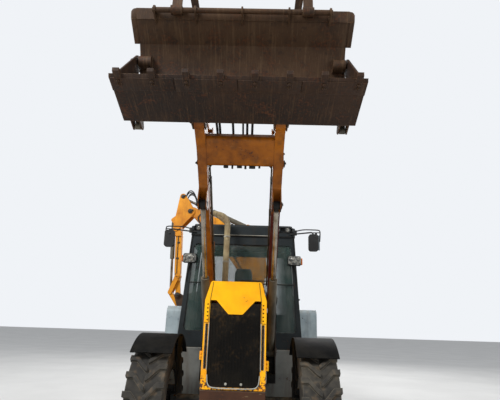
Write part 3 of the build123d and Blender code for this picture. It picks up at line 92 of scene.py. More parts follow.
# The tyre's sidewall as (drawn in, moved out), and its lug as (drawn out, turned in degrees, narrowed to)
TYRE_DRUM_RADIUS = 0.662
SIDEWALL_STEPS = (
    (0.030, 0.012), (0.045, 0.006), (0.012, -0.004), (0.060, 0.003), (0.012, 0.004), (0.070, -0.012),
    (0.050, -0.024), (0.022, 0.006),
)
LUG_STEPS = (
    (0.034, 3.0, 0.98), (0.034, 3.4, 0.97), (0.034, 3.0, 0.96), (0.030, 2.2, 0.94), (0.012, 0.8, 0.7),
)
LUG_HEEL_STEPS = ((0.010, -0.6, 0.94),)

# The seat's pads: the size of their cells, and how far the cloth may swell
PAD_VOXEL = 0.0075
PAD_SWELL = 0.012

# The photograph's camera: its place in metres, its lens in millimetres and its angles in degrees
CAMERA_PLACE = (0.434, -6.217, 1.59)
CAMERA_LENS = 29.92
CAMERA_YAW_PITCH_ROLL = (1.08, 16.83, 1.8)


def turned_place(pivot, climb, across, along, above):
    """A place given in (across, along, above) from a pivot, as the arms and the bucket are drawn."""
    turn = math.radians(climb)
    rearward = pivot[0] - along * math.cos(turn) + above * math.sin(turn)
    up = pivot[1] + along * math.sin(turn) + above * math.cos(turn)
    return place(across, rearward, up)


def on_arm(across, along, above):
    return turned_place(ARM_PIVOT, ARM_CLIMB, across, along, above)


def on_bucket(across, along, above):
    return turned_place(HEEL, BUCKET_CLIMB, across, along, above)


def on_bucket_up():
    """Which way the bucket's floor faces."""
    turn = math.radians(BUCKET_CLIMB)
    return Vector((0, math.sin(turn), math.cos(turn)))


def on_hoe(sideways, outward, up):
    """A place on the folded backhoe, outward being to the machine's right from the swing axis."""
    return place(SWING_ACROSS - outward, SWING_REARWARD + sideways, up)


def tone(red, green, blue):
    """A colour as an eye reads it, 0 to 255, as the linear colour that a shader takes."""
    return tuple(
        (c / 255 / 12.92 if c <= 10 else ((c / 255 + 0.055) / 1.055) ** 2.4) for c in (red, green, blue)
    ) + (1.0,)


FINISHES = {}


class Value:
    """What a socket gives; Python's signs on it add the nodes that work it out."""

    def __init__(self, finish, socket):
        self.finish = finish
        self.socket = socket

    def with_math(self, operation, *others):
        return self.finish.node("Math", {"operation": operation}, dict(enumerate((self, *others))))

    def __add__(self, other):
        return self.with_math("ADD", other)

    __radd__ = __add__

    def __sub__(self, other):
        return self.with_math("SUBTRACT", other)

    def __rsub__(self, other):
        return self.finish.node("Math", {"operation": "SUBTRACT"}, {0: other, 1: self})

    def __mul__(self, other):
        return self.with_math("MULTIPLY", other)

    __rmul__ = __mul__

    def most(self, other):
        return self.with_math("MAXIMUM", other)

    def least(self, other):
        return self.with_math("MINIMUM", other)

    def size(self):
        return self.with_math("ABSOLUTE")

    def between(self, low, high):
        """0 below low, 1 above high and smooth between them."""
        ends = {"Value": self, "From Min": low, "From Max": high}
        return self.finish.node("MapRange", {"interpolation_type": "SMOOTHSTEP"}, ends)


class Finish:
    """A material and the means to add nodes to it; shade keeps it under its name in FINISHES."""

    def __init__(self, name):
        self.name = name
        self.material = bpy.data.materials.new(name)
        self.material.use_nodes = True
        self.tree = self.material.node_tree
        self.shader = next(n for n in self.tree.nodes if n.type == "BSDF_PRINCIPLED")
        self.place = self.node("TexCoord", output="Object")
        self.normal = self.node("NewGeometry", output="Normal")
        self.upward = self.node("SeparateXYZ", inputs={0: self.normal}, output=2)

    def node(self, kind, settings=None, inputs=None, output=0):
        """Adds a node with its settings, then the values or links of its sockets, and gives one output."""
        added = self.tree.nodes.new("ShaderNode" + kind)
        for name, setting in (settings or {}).items():
            setattr(added, name, setting)
        for name, value in (inputs or {}).items():
            self.feed(added.inputs[name], value)
        return Value(self, added.outputs[output])

    def feed(self, socket, value):
        if isinstance(value, Value):
            self.tree.links.new(value.socket, socket)
        else:
            socket.default_value = value

    def noise(self, scale, detail=3.0, stretch=None, roughness=0.55, twist=0.0):
        """Soft blotches, so many to a metre, stretched along an axis if wanted."""
        where = self.place
        if stretch:
            where = self.node("Mapping", inputs={"Vector": where, "Scale": stretch})
        inputs = {"Vector": where, "Scale": scale, "Detail": detail}
        inputs |= {"Roughness": roughness, "Distortion": twist}
        return self.node("TexNoise", inputs=inputs)

    def cells(self, scale):
        return self.node("TexVoronoi", inputs={"Vector": self.place, "Scale": scale})

    def mix(self, first, second, share):
        """Two colours mixed, share being how much of the second shows."""
        return self.node("Mix", {"data_type": "RGBA"}, {0: share, 6: first, 7: second}, output=2)

    def across(self, axis):
        return self.node("SeparateXYZ", inputs={0: self.place}, output=axis)

    def edges(self, radius=0.006):
        """The rounded normal of the edges, and how near an edge a point is."""
        rounded = self.node("Bevel", {"samples": 4}, {"Radius": radius})
        both = {0: rounded, 1: self.normal}
        same = self.node("VectorMath", {"operation": "DOT_PRODUCT"}, both, output="Value")
        return rounded, (1 - same).between(0.01, 0.22)

    def bumped(self, height, strength, distance, normal=None):
        inputs = {"Height": height, "Strength": strength, "Distance": distance}
        if normal:
            inputs["Normal"] = normal
        return self.node("Bump", inputs=inputs)

    def shade(self, **values):
        """Sets the shader's own sockets; underscores stand for the blanks in their names."""
        for name, value in values.items():
            self.feed(self.shader.inputs[name.replace("_", " ")], value)
        FINISHES[self.name] = self.material
        return self.material


def painted(
    name, base, deep, rough=0.42, wear=0.5, rust=0.35, dust=0.35, streaks=0.4, coat=0.0, edge=0.006,
    gloss=0.25, local=None
):
    """Paint on steel that has worked outside: faded, scratched, chipped at its edges, dusty on top."""
    f = Finish(name)
    rounded, near_edge = f.edges(edge)
    broad = f.noise(1.3, 4.0)
    cloud = f.noise(7.0, 5.0)
    fine = f.noise(46.0, 5.0)
    grit = f.noise(260.0, 2.0)
    run = f.noise(9.0, 4.0, stretch=(1.0, 1.0, 0.12))
    scratch = f.noise(30.0, 3.0, stretch=(0.4, 6.0, 1.6), twist=0.6)
    colour = f.mix(base, deep, (broad * 0.55 + cloud * 0.45).between(0.36, 0.68))
    if local:
        other, share = local(f)
        colour = f.mix(colour, other, share)
    colour = f.mix(colour, tone(70, 48, 28), run.between(0.5, 0.72) * streaks)
    chips = (near_edge * 0.75 + fine * 0.55).between(0.86 - 0.2 * wear, 0.9 - 0.2 * wear)
    spots = (fine * cloud).between(0.40 - 0.04 * wear, 0.43 - 0.04 * wear)
    bare = chips.most(spots)
    metal = f.mix(tone(66, 52, 42), tone(116, 66, 34), grit.between(0.42, 0.6) * rust * 2)
    halo = (near_edge * 0.7 + fine * 0.5 + cloud * 0.15).between(0.62, 0.86) * rust
    colour = f.mix(colour, tone(120, 74, 34), halo)
    colour = f.mix(colour, metal, bare)
    colour = f.mix(colour, tone(196, 172, 128), scratch.between(0.66, 0.7) * 0.22 * wear)
    settled = f.upward.between(0.25, 0.95) * f.noise(16.0, 5.0).between(0.28, 0.66) * dust
    colour = f.mix(colour, tone(150, 136, 112), settled)
    rough_all = (rough + cloud * 0.16 + settled * 0.3 + bare * 0.22 - 0.06).least(0.95)
    height = grit * 0.10 + fine * 0.12 - bare * 0.55
    return f.shade(
        Base_Color=colour,
        Roughness=rough_all,
        Metallic=bare * 0.35,
        Coat_Weight=coat,
        Specular_IOR_Level=gloss,
        Normal=f.bumped(height, 0.35, 0.003, rounded),
    )


def shade_below_left_arm(f):
    """Painted shade: the left arm's lower half turned dark red."""
    left = f.across(0).between(0.5, 0.56)
    low = 1 - (f.across(2) + f.noise(5.0, 4.0) * 0.1).between(2.96, 3.06)
    # painted shade in dark red on the left arm's lower half
    return tone(74, 20, 20), left * low


def blackened_pivots(f):
    """Near-black on and around the lift cylinders' upper pivots."""
    pivot = on_arm(0, *LIFT_PIN)
    off = (f.across(1) - pivot.y).size() + (f.across(2) - pivot.z).size() + f.noise(12.0, 4.0) * 0.05
    return tone(14, 13, 11), 1 - off.between(0.11, 0.16)


def shaded_and_blackened(f):
    """Both: the left arm's dark red painted shade, and the near-black around the pivots on either arm."""
    red, shade_share = shade_below_left_arm(f)
    black, share = blackened_pivots(f)
    return f.mix(red, black, share), shade_share.most(share)


def chipped_low(f):
    """The front corners of the hood, chipped to the brown under the paint near their feet."""
    low = 1 - f.across(2).between(0.98, 1.16)
    flakes = (f.noise(38.0, 5.0) * 0.7 + low * 0.15).between(0.49, 0.52)
    return tone(86, 50, 30), flakes * low.between(0.05, 0.2) * (1 - f.across(1).between(-1.34, -1.30))


def worn_steel(name, base, deep, bright, rust=0.5, polish=0.4, rough=0.55, metal=0.55):
    """Unpainted or rubbed steel: rusty brown, scored the way the soil runs, brighter where it rubs."""
    f = Finish(name)
    rounded, near_edge = f.edges(0.008)
    broad = f.noise(1.1, 5.0)
    cloud = f.noise(5.0, 6.0, twist=0.4)
    fine = f.noise(40.0, 6.0)
    grit = f.noise(300.0, 2.0)
    score = f.noise(34.0, 4.0, stretch=(4.0, 0.35, 0.35), twist=0.3)
    long_score = f.noise(12.0, 5.0, stretch=(3.0, 0.16, 0.16))
    colour = f.mix(base, deep, (broad * 0.5 + cloud * 0.5).between(0.36, 0.62))
    colour = f.mix(colour, tone(112, 62, 30), (fine * 0.5 + cloud * 0.5).between(0.5, 0.7) * rust)
    colour = f.mix(colour, bright, score.between(0.56, 0.72) * 0.55 * polish)
    colour = f.mix(colour, bright, long_score.between(0.52, 0.7) * 0.5 * polish)
    rubbed = (near_edge * 0.8 + fine * 0.35).between(0.62, 0.95)
    colour = f.mix(colour, bright, rubbed * 0.75)
    colour = f.mix(colour, tone(28, 22, 18), f.noise(14.0, 5.0).between(0.58, 0.72) * 0.5)
    return f.shade(
        Base_Color=colour,
        Roughness=(rough + fine * 0.25 - rubbed * 0.2 - score.between(0.56, 0.72) * 0.12).most(0.2),
        Metallic=(rubbed * 0.4 + 0.06) * metal,
        Specular_IOR_Level=0.3,
        Normal=f.bumped(fine * 0.3 + score * 0.5 + grit * 0.12, 0.5, 0.004, rounded),
    )


def moulded(name, base, deep, rough=0.6, grain=0.4, dust=0.3, gloss=0.35):
    """Moulded plastic or thick satin paint with a fine grain, scuffed and dusty."""
    f = Finish(name)
    rounded, near_edge = f.edges(0.005)
    cloud = f.noise(3.0, 5.0)
    fine = f.noise(60.0, 4.0)
    grit = f.cells(420.0)
    colour = f.mix(base, deep, cloud.between(0.35, 0.65))
    colour = f.mix(colour, tone(112, 108, 100), (near_edge * 0.7 + fine * 0.5).between(0.72, 0.95) * 0.4)
    settled = f.upward.between(0.2, 0.9) * f.noise(9.0, 5.0).between(0.3, 0.7) * dust
    colour = f.mix(colour, tone(140, 132, 116), settled)
    run = f.noise(8.0, 4.0, stretch=(1.0, 1.0, 0.15)).between(0.52, 0.72)
    colour = f.mix(colour, tone(96, 90, 78), run * dust * 0.5)
    return f.shade(
        Base_Color=colour,
        Roughness=(rough + fine * 0.14 + settled * 0.2 - 0.07).least(0.95),
        Specular_IOR_Level=gloss,
        Normal=f.bumped(grit * grain + fine * 0.3, 0.25, 0.002, rounded),
    )


def rubber(name, base, dusty, dust=0.6):
    """Tyre rubber: dark in its grooves, dust and dried mud on what stands proud."""
    f = Finish(name)
    rounded, near_edge = f.edges(0.01)
    broad = f.noise(2.2, 5.0)
    cloud = f.noise(11.0, 6.0)
    fine = f.noise(70.0, 5.0)
    cake = (broad * 0.5 + cloud * 0.35 + near_edge * 0.35).between(0.36, 0.72) * dust
    colour = f.mix(base, dusty, cake)
    colour = f.mix(colour, tone(124, 96, 66), cloud.between(0.55, 0.7) * 0.4 * dust)
    colour = f.mix(colour, tone(24, 23, 22), fine.between(0.6, 0.75) * 0.5)
    return f.shade(
        Base_Color=colour,
        Roughness=(0.72 + fine * 0.2).least(0.95),
        Specular_IOR_Level=0.3,
        Normal=f.bumped(fine * 0.5 + cloud * 0.6, 0.55, 0.004, rounded),
    )


def chromed(name, local=None):
    """Ground and plated rod, with an oil film and the wiper's fine rings."""
    f = Finish(name)
    cloud = f.noise(6.0, 4.0)
    rings = f.noise(90.0, 3.0, stretch=(0.2, 1.0, 1.0))
    smear = f.noise(18.0, 5.0, stretch=(1.0, 0.3, 0.3))
    colour = f.mix(tone(156, 148, 136), tone(104, 92, 74), cloud.between(0.42, 0.7))
    colour = f.mix(colour, tone(92, 74, 52), smear.between(0.6, 0.75) * 0.6)
    plated, rough = 0.95, 0.16 + smear * 0.22
    if local:
        other, share = local(f)
        colour = f.mix(colour, other, share)
        plated, rough = 0.95 - share * 0.9, rough + share * 0.5
    return f.shade(
        Base_Color=colour,
        Roughness=rough,
        Metallic=plated,
        Normal=f.bumped(rings, 0.06, 0.001),
    )


def glazed(name, tint, clear=0.85, rough=0.03, side_darkening=0.0):
    """Window glass with a film of dust and wiped streaks, the side panes less clear and darker."""
    f = Finish(name)
    beside = (f.across(0) - 0.22).size().between(0.5, 0.8) * side_darkening
    film = f.noise(5.0, 5.0)
    wiped = f.noise(14.0, 4.0, stretch=(1.0, 1.0, 0.2))
    haze = (film * 0.6 + wiped * 0.4).between(0.4, 0.7)
    return f.shade(
        Base_Color=f.mix(tint, tone(120, 122, 116), haze * 0.4),
        Roughness=rough + haze * 0.12,
        Alpha=(1 - clear) + haze * 0.12 + beside,
        IOR=1.45,
        Specular_IOR_Level=0.6,
        Normal=f.bumped(film, 0.02, 0.002),
    )


def lit_lens(name, base, deep):
    """Ribbed lamp lens over a bright reflector."""
    f = Finish(name)
    bands = {"wave_type": "BANDS", "bands_direction": "X"}
    ribs = f.node("TexWave", bands, {"Vector": f.place, "Scale": 60.0})
    cloud = f.noise(30.0, 3.0)
    return f.shade(
        Base_Color=f.mix(base, deep, cloud.between(0.35, 0.65)),
        Roughness=0.12 + cloud * 0.1,
        Metallic=0.25,
        Coat_Weight=0.6,
        Normal=f.bumped(ribs, 0.35, 0.002),
    )


def upholstery(name, base, deep):
    """Woven seat cloth, its tone varying in soft blotches."""
    f = Finish(name)
    weft = f.node("TexWave", {"bands_direction": "X"}, {"Vector": f.place, "Scale": 170.0, "Distortion": 1.2})
    warp = f.node("TexWave", {"bands_direction": "Z"}, {"Vector": f.place, "Scale": 170.0, "Distortion": 1.2})
    cloud = f.noise(5.0, 5.0)
    fluff = f.noise(300.0, 3.0)
    weave = weft * warp
    colour = f.mix(base, deep, cloud.between(0.35, 0.65))
    colour = f.mix(colour, tone(30, 34, 36), weave.between(0.3, 0.7) * 0.5)
    return f.shade(
        Base_Color=colour,
        Roughness=0.85 + fluff * 0.1,
        Sheen_Weight=0.3,
        Normal=f.bumped(weave + fluff * 0.4, 0.35, 0.002),
    )


def screened(name):
    """Fine black radiator screen, dusty in its mesh."""
    f = Finish(name)
    across = f.across(0)
    up = f.across(2)
    wire_a = (across * 420.0).with_math("SINE").size()
    wire_b = (up * 420.0).with_math("SINE").size()
    holes = (wire_a * wire_b).between(0.2, 0.5)
    cloud = f.noise(4.0, 6.0)
    dirt = f.noise(26.0, 5.0)
    colour = f.mix(tone(40, 35, 28), tone(8, 8, 7), holes)
    colour = f.mix(colour, tone(12, 11, 10), f.noise(2.2, 5.0).between(0.46, 0.6) * 0.7)
    colour = f.mix(colour, tone(74, 56, 34), (cloud * 0.5 + dirt * 0.5).between(0.5, 0.66) * 0.6)
    return f.shade(
        Base_Color=colour,
        Roughness=0.75 + dirt * 0.15,
        Specular_IOR_Level=0.15,
        Normal=f.bumped(1 - holes, 0.6, 0.004),
    )


def nothing_selected():
    if bpy.context.object and bpy.context.object.mode != "OBJECT":
        bpy.ops.object.mode_set(mode="OBJECT")
    bpy.ops.object.select_all(action="DESELECT")


def choose(piece):
    """Selects one piece alone and makes it the active one."""
    nothing_selected()
    piece.select_set(True)
    bpy.context.view_layer.objects.active = piece


def choose_faces(piece, wanted):
    """Goes into edit mode with those faces of the active piece selected that a test picks out."""
    bpy.ops.object.mode_set(mode="EDIT")
    bpy.ops.mesh.select_mode(type="FACE")
    bpy.ops.mesh.select_all(action="DESELECT")
    bpy.ops.object.mode_set(mode="OBJECT")
    for face in piece.data.polygons:
        face.select = wanted(face)
    bpy.ops.object.mode_set(mode="EDIT")


def face_out():
    """Turns all faces of the active piece outward, and leaves edit mode."""
    bpy.ops.object.mode_set(mode="EDIT")
    bpy.ops.mesh.select_all(action="SELECT")
    bpy.ops.mesh.normals_make_consistent(inside=False)
    bpy.ops.object.mode_set(mode="OBJECT")


def rolled(centre, turn):
    """The matrix that rolls something about an axle through a centre."""
    return Matrix.Translation(centre) @ Matrix.Rotation(turn, 4, "X") @ Matrix.Translation(-centre)


def settle(piece):
    """Puts a piece's place into its mesh."""
    choose(piece)
    bpy.ops.object.transform_apply(location=True, rotation=True, scale=True)
    return piece


def with_modifier(piece, kind, **settings):
    """Adds a modifier to a piece and applies it."""
    choose(piece)
    modifier = piece.modifiers.new(kind.title(), kind)
    for name, value in settings.items():
        setattr(modifier, name, value)
    bpy.ops.object.modifier_apply(modifier=modifier.name)
    return piece


def softened(piece, width, segments=2, angle=35):
    """Rounds a piece's sharp edges and shades what is round smoothly."""
    if width:
        limit = {"limit_method": "ANGLE", "angle_limit": math.radians(angle)}
        with_modifier(piece, "BEVEL", width=width, segments=segments, **limit)
    choose(piece)
    bpy.ops.object.shade_smooth_by_angle(angle=math.radians(40))
    return piece


def block(low, high, bevel=0.004, segments=2):
    """A box between two corners, in metres, with its edges rounded."""
    nothing_selected()
    low, high = Vector(low), Vector(high)
    bpy.ops.mesh.primitive_cube_add(size=1, location=(low + high) / 2, scale=high - low)
    return softened(settle(bpy.context.object), bevel, segments)


def round_bar(start, end, radius, sides=24, bevel=0.002, tip=None):
    """A round bar between two points; tip gives its far end another radius."""
    nothing_selected()
    start, end = Vector(start), Vector(end)
    along = end - start
    turn = along.to_track_quat("Z", "Y").to_euler()
    bpy.ops.mesh.primitive_cone_add(
        vertices=sides,
        radius1=radius,
        radius2=radius if tip is None else tip,
        depth=along.length,
        location=(start + end) / 2,
        rotation=turn,
    )
    return softened(settle(bpy.context.object), bevel)


def line(points, radius, sides=3, closed=False):
    """A pipe or hose on one smooth line that its guide points draw."""
    nothing_selected()
    bpy.ops.curve.primitive_nurbs_path_add()
    path = bpy.context.object
    path.data.splines.clear()
    spline = path.data.splines.new("NURBS")
    spline.points.add(len(points) - 1)
    for point, where in zip(spline.points, points):
        point.co = (*where, 1.0)
    spline.order_u = 3
    spline.use_endpoint_u = not closed
    spline.use_cyclic_u = closed
    path.data.dimensions = "3D"
    path.data.resolution_u = 8
    path.data.bevel_depth = radius
    path.data.bevel_resolution = sides
    path.data.use_fill_caps = not closed
    path.location = (0, 0, 0)
    choose(path)
    bpy.ops.object.convert(target="MESH")
    piece = bpy.context.object
    bpy.ops.object.shade_smooth()
    return piece


def slab(at, low, high, *more):
    """A block between two corners in millimetres, which at turns into places."""
    return block(at(*low), at(*high), *more)


def rod(at, start, end, *more, **named):
    """A round bar between two points in millimetres, which at turns into places."""
    return round_bar(at(*start), at(*end), *more, **named)


def run(at, guide, radius, **more):
    """A pipe or hose along guide points in millimetres, which at turns into places."""
    return line([at(*point) for point in guide], radius, **more)


def ring(centre, axis, radius, thick, sides=36):
    """A round bar bent to a ring."""
    nothing_selected()
    turn = Vector(axis).to_track_quat("Z", "Y").to_euler()
    bpy.ops.mesh.primitive_torus_add(
        location=centre, rotation=turn, major_radius=radius, minor_radius=thick, major_segments=sides,
        minor_segments=10,
    )
    piece = settle(bpy.context.object)
    bpy.ops.object.shade_smooth()
    return piece


def sheet(corners, thick, bevel=0.003):
    """A plate whose outline is given by its corners, thickened along its normal."""
    nothing_selected()
    bpy.ops.mesh.primitive_circle_add(vertices=len(corners), radius=1, fill_type="NGON")
    piece = bpy.context.object
    for vertex, corner in zip(piece.data.vertices, corners):
        vertex.co = Vector(corner)
    piece.data.update()
    settle(piece)
    with_modifier(piece, "SOLIDIFY", thickness=thick, offset=0)
    face_out()
    return softened(piece, bevel)


def on_front(node, across, up, proud=0.0):
    """The place on a CAD node's front at this across and up, as seen from ahead of the machine."""
    start = place(across, -3000, up)
    _, where, facing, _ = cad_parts[node].ray_cast(start, Vector((0, 1, 0)))
    return where + facing * proud


def stood(piece, where, facing, lean=0.0):
    """A piece made round the Z axis, stood at a place so that its Z axis faces a way."""
    turn = Vector(facing).to_track_quat("Z", "Y").to_matrix().to_4x4()
    piece.data.transform(Matrix.Translation(where) @ turn @ Matrix.Rotation(lean, 4, "Z"))
    return piece


def bolt(where, wide):
    """A hexagon head on its washer, facing up."""
    where = Vector(where)
    washer = round_bar(where, where + Vector((0, 0, wide * 0.12)), wide * 0.72, 20, 0)
    low, high = where + Vector((0, 0, wide * 0.1)), where + Vector((0, 0, wide * 0.55))
    head = round_bar(low, high, wide * 0.56, 6, wide * 0.06)
    return joined([head, washer])


def joined(pieces):
    """Several pieces made one."""
    pieces = list(pieces)
    nothing_selected()
    for piece in pieces:
        piece.select_set(True)
    bpy.context.view_layer.objects.active = pieces[0]
    if len(pieces) > 1:
        bpy.ops.object.join()
    return bpy.context.object


def copied(piece, matrix):
    """A copy of a piece with its own mesh, moved by a matrix."""
    twin = piece.copy()
    twin.data = piece.data.copy()
    twin.data.transform(matrix)
    bpy.context.scene.collection.objects.link(twin)
    return twin


def hand_over(piece, name, finish_name, body, slot, *nodes):
    """Names a finished piece, gives it its finish and lets it ride on its body, if it has one alone."""
    piece.name = name
    piece.data.name = name
    piece.data.materials.clear()
    piece.data.materials.append(FINISHES[finish_name])
    if body:
        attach(piece, body)
    if nodes:
        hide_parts(*nodes)
    return piece


def colour_choice(name, description, *shade):
    """A colour that a user may change, its first value given as an eye reads it, 0 to 255."""
    return bpy.props.FloatVectorProperty(
        name=name, description=description, subtype="COLOR", size=4, min=0, max=1, default=tone(*shade)
    )


class LoaderColours(bpy.types.PropertyGroup):
    # Loader paint: the arms' yellow darkened to orange-brown as painted shade
    loader_paint: colour_choice("Loader paint and painted shade", "Paint of the loader arms, darkened as painted shade", 158, 90, 8)
    body_paint: colour_choice("Hood paint", "Paint of the hood", 250, 182, 0)
    backhoe_paint: colour_choice("Backhoe paint", "Paint of the backhoe", 226, 150, 30)
    bucket_steel: colour_choice("Bucket steel", "Colour of the worn bucket", 76, 53, 33)
    cab_dark: colour_choice("Cab paint", "Paint of the cab's frame and roof", 36, 42, 44)
    fender_grey: colour_choice("Fender paint", "Paint of the rear fenders", 168, 180, 183)


class LoaderSizes(bpy.types.PropertyGroup):
    lug_count: bpy.props.IntProperty(
        name="Lugs a side", description="Number of tread lugs on each side of a tyre", default=21, min=8,
        max=40,
    )
    lug_height: bpy.props.FloatProperty(
        name="Lug height", description="How far a lug stands out of the tread", default=0.036, min=0.01,
        max=0.06, unit="LENGTH", subtype="DISTANCE",
    )
    hose_radius: bpy.props.FloatProperty(
        name="Hose radius", description="Radius of the hydraulic hoses", default=0.014, min=0.005, max=0.03,
        unit="LENGTH", subtype="DISTANCE",
    )


CAD_FINISHES = {
    "loader paint and painted shade": ("loader_arms", "bellcranks", "tilt_links"),
    "hood paint": ("hood", "cowl"),
    "backhoe paint": (
        "carriage", "kingpost", "boom", "dipper", "hoe_lever", "hoe_link", "stabilizer_left",
        "stabilizer_right",
    ),
    "bucket steel": ("bucket", "forks", "hoe_bucket"),
    # the jaw's steel darkened as painted shade
    "jaw steel in painted shade": ("jaw",),
    "engine iron": ("engine", "front_axle", "rear_axle", "tie_rod", "chassis", "rear_frame"),
    "mudguard black": ("knuckle_left", "knuckle_right"),
    "nose brown": ("lower_nose",),
    "cylinder grey": (
        "lift_barrels", "tilt_barrels", "jaw_barrels", "boom_barrel", "dipper_barrel", "bucket_barrel",
    ),
    "lift rod chrome": ("lift_rods",),
    "rod chrome": ("tilt_rods", "jaw_rods", "boom_rod", "dipper_rod", "bucket_rod"),
    "cab dark": ("cab_frame", "cab_roof", "door_left", "door_right"),
    "black plastic": ("cab_interior", "mirrors", "seat"),
    "radiator screen": ("grille",),
    "fender grey": ("rear_fenders",),
    "tank grey": ("tanks",),
    "exhaust steel": ("exhaust",),
    "rim paint": ("rim_front_left", "rim_front_right", "rim_rear_left", "rim_rear_right"),
    "tyre rubber": ("tyre_front_left", "tyre_front_right", "tyre_rear_left", "tyre_rear_right"),
    "window glass": ("cab_glass",),
    "lamp lens": ("lamps",),
}


class LOADER_OT_finishes(bpy.types.Operator):
    """Makes the finishes and gives every CAD node its own"""

    bl_idname = "loader.finishes"
    bl_label = "Finishes"

    def execute(self, context):
        colours = context.scene.loader_colours
        # Loader paint: yellow darkened to orange-brown as painted shade
        painted(
            "loader paint and painted shade", tuple(colours.loader_paint), tone(108, 56, 5), wear=0.7, rust=0.45, streaks=0.5,
            # dark red painted shade on the left arm's lower half, near-black around the lift pivots
            local=shaded_and_blackened,
        )
        painted(
            "hood paint", tuple(colours.body_paint), tone(238, 150, 0), rough=0.36, wear=0.25, rust=0.2,
            dust=0.1, streaks=0.06, coat=0.1, local=chipped_low,
        )
        painted(
            "backhoe paint", tuple(colours.backhoe_paint), tone(186, 112, 18), wear=0.5, rust=0.35,
            streaks=0.35,
        )
        worn_steel("bucket steel", tuple(colours.bucket_steel), tone(44, 29, 17), tone(132, 104, 74))
        # Jaw steel: darker than the bucket's steel, its darkness painted shade of the jaw's downward faces
        worn_steel("jaw steel in painted shade", tone(50, 31, 17), tone(27, 16, 9), tone(108, 80, 52), rust=0.4)
        painted("engine iron", tone(46, 46, 44), tone(30, 29, 27), rough=0.6, wear=0.4, rust=0.6, dust=0.5)
        moulded("mudguard black", tone(9, 9, 9), tone(4, 4, 4), rough=0.7, dust=0.03, gloss=0.12)
        painted("nose brown", tone(72, 42, 24), tone(46, 27, 17), rough=0.6, wear=0.8, rust=0.9, dust=0.4)
        painted(
            "cylinder grey", tone(96, 90, 76), tone(52, 51, 47), rough=0.5, wear=0.5, rust=0.3, dust=0.3
        )
        chromed("rod chrome")
        # the lift rods near-black near their upper pivots
        chromed("lift rod chrome", local=blackened_pivots)
        painted(
            "cab dark", tuple(colours.cab_dark), tone(24, 29, 31), rough=0.42, wear=0.15, rust=0.1, dust=0.22,
            streaks=0.15,
        )
        moulded("black plastic", tone(34, 35, 35), tone(22, 22, 22))
        screened("radiator screen")
        painted(
            "fender grey", tuple(colours.fender_grey), tone(132, 146, 152), rough=0.4, wear=0.2, rust=0.12,
            dust=0.3, streaks=0.25,
        )
        painted(
            "tank grey", tone(120, 121, 116), tone(92, 93, 90), rough=0.5, wear=0.35, rust=0.25, dust=0.4
        )
        worn_steel(
            "exhaust steel", tone(172, 158, 122), tone(122, 106, 76), tone(228, 218, 188), rust=0.2, metal=0.8
        )
        painted("rim paint", tone(186, 186, 178), tone(150, 146, 134), wear=0.4, rust=0.4, dust=0.4)
        rubber("tyre rubber", tone(44, 42, 39), tone(118, 110, 94))
        # side panes less clear and darker
        glazed("window glass", tone(44, 66, 60), clear=0.74, side_darkening=0.44)
        lit_lens("lamp lens", tone(150, 148, 138), tone(58, 60, 60))
        lit_lens("amber lens", tone(226, 122, 26), tone(186, 92, 14))
        glazed("mirror glass", tone(120, 130, 138), clear=0.0, rough=0.04)
        upholstery("seat cloth", tone(70, 78, 76), tone(52, 58, 58))
        moulded("hose rubber", tone(26, 26, 26), tone(16, 16, 16), rough=0.55, grain=0.2)
        worn_steel("zinc", tone(170, 166, 150), tone(140, 134, 116), tone(206, 204, 196), rust=0.2)
        painted(
            "line steel", tone(78, 66, 48), tone(44, 38, 30), rough=0.6, wear=0.4, rust=0.5, dust=0.2,
            edge=0.003,
        )
        painted(
            "pin steel", tone(52, 48, 44), tone(34, 31, 28), rough=0.5, wear=0.6, rust=0.6, dust=0.3,
            edge=0.003,
        )
        moulded("seal rubber", tone(16, 17, 17), tone(10, 10, 10), rough=0.7, grain=0.2)
        moulded("pale seal", tone(170, 168, 156), tone(130, 128, 118), rough=0.6)
        for name, nodes in CAD_FINISHES.items():
            for node in nodes:
                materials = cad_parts[node].data.materials
                materials.clear()
                materials.append(FINISHES[name])
        missing = set(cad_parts) - {n for nodes in CAD_FINISHES.values() for n in nodes}
        if missing:
            raise RuntimeError(f"no finish for {sorted(missing)}")
        return {"FINISHED"}


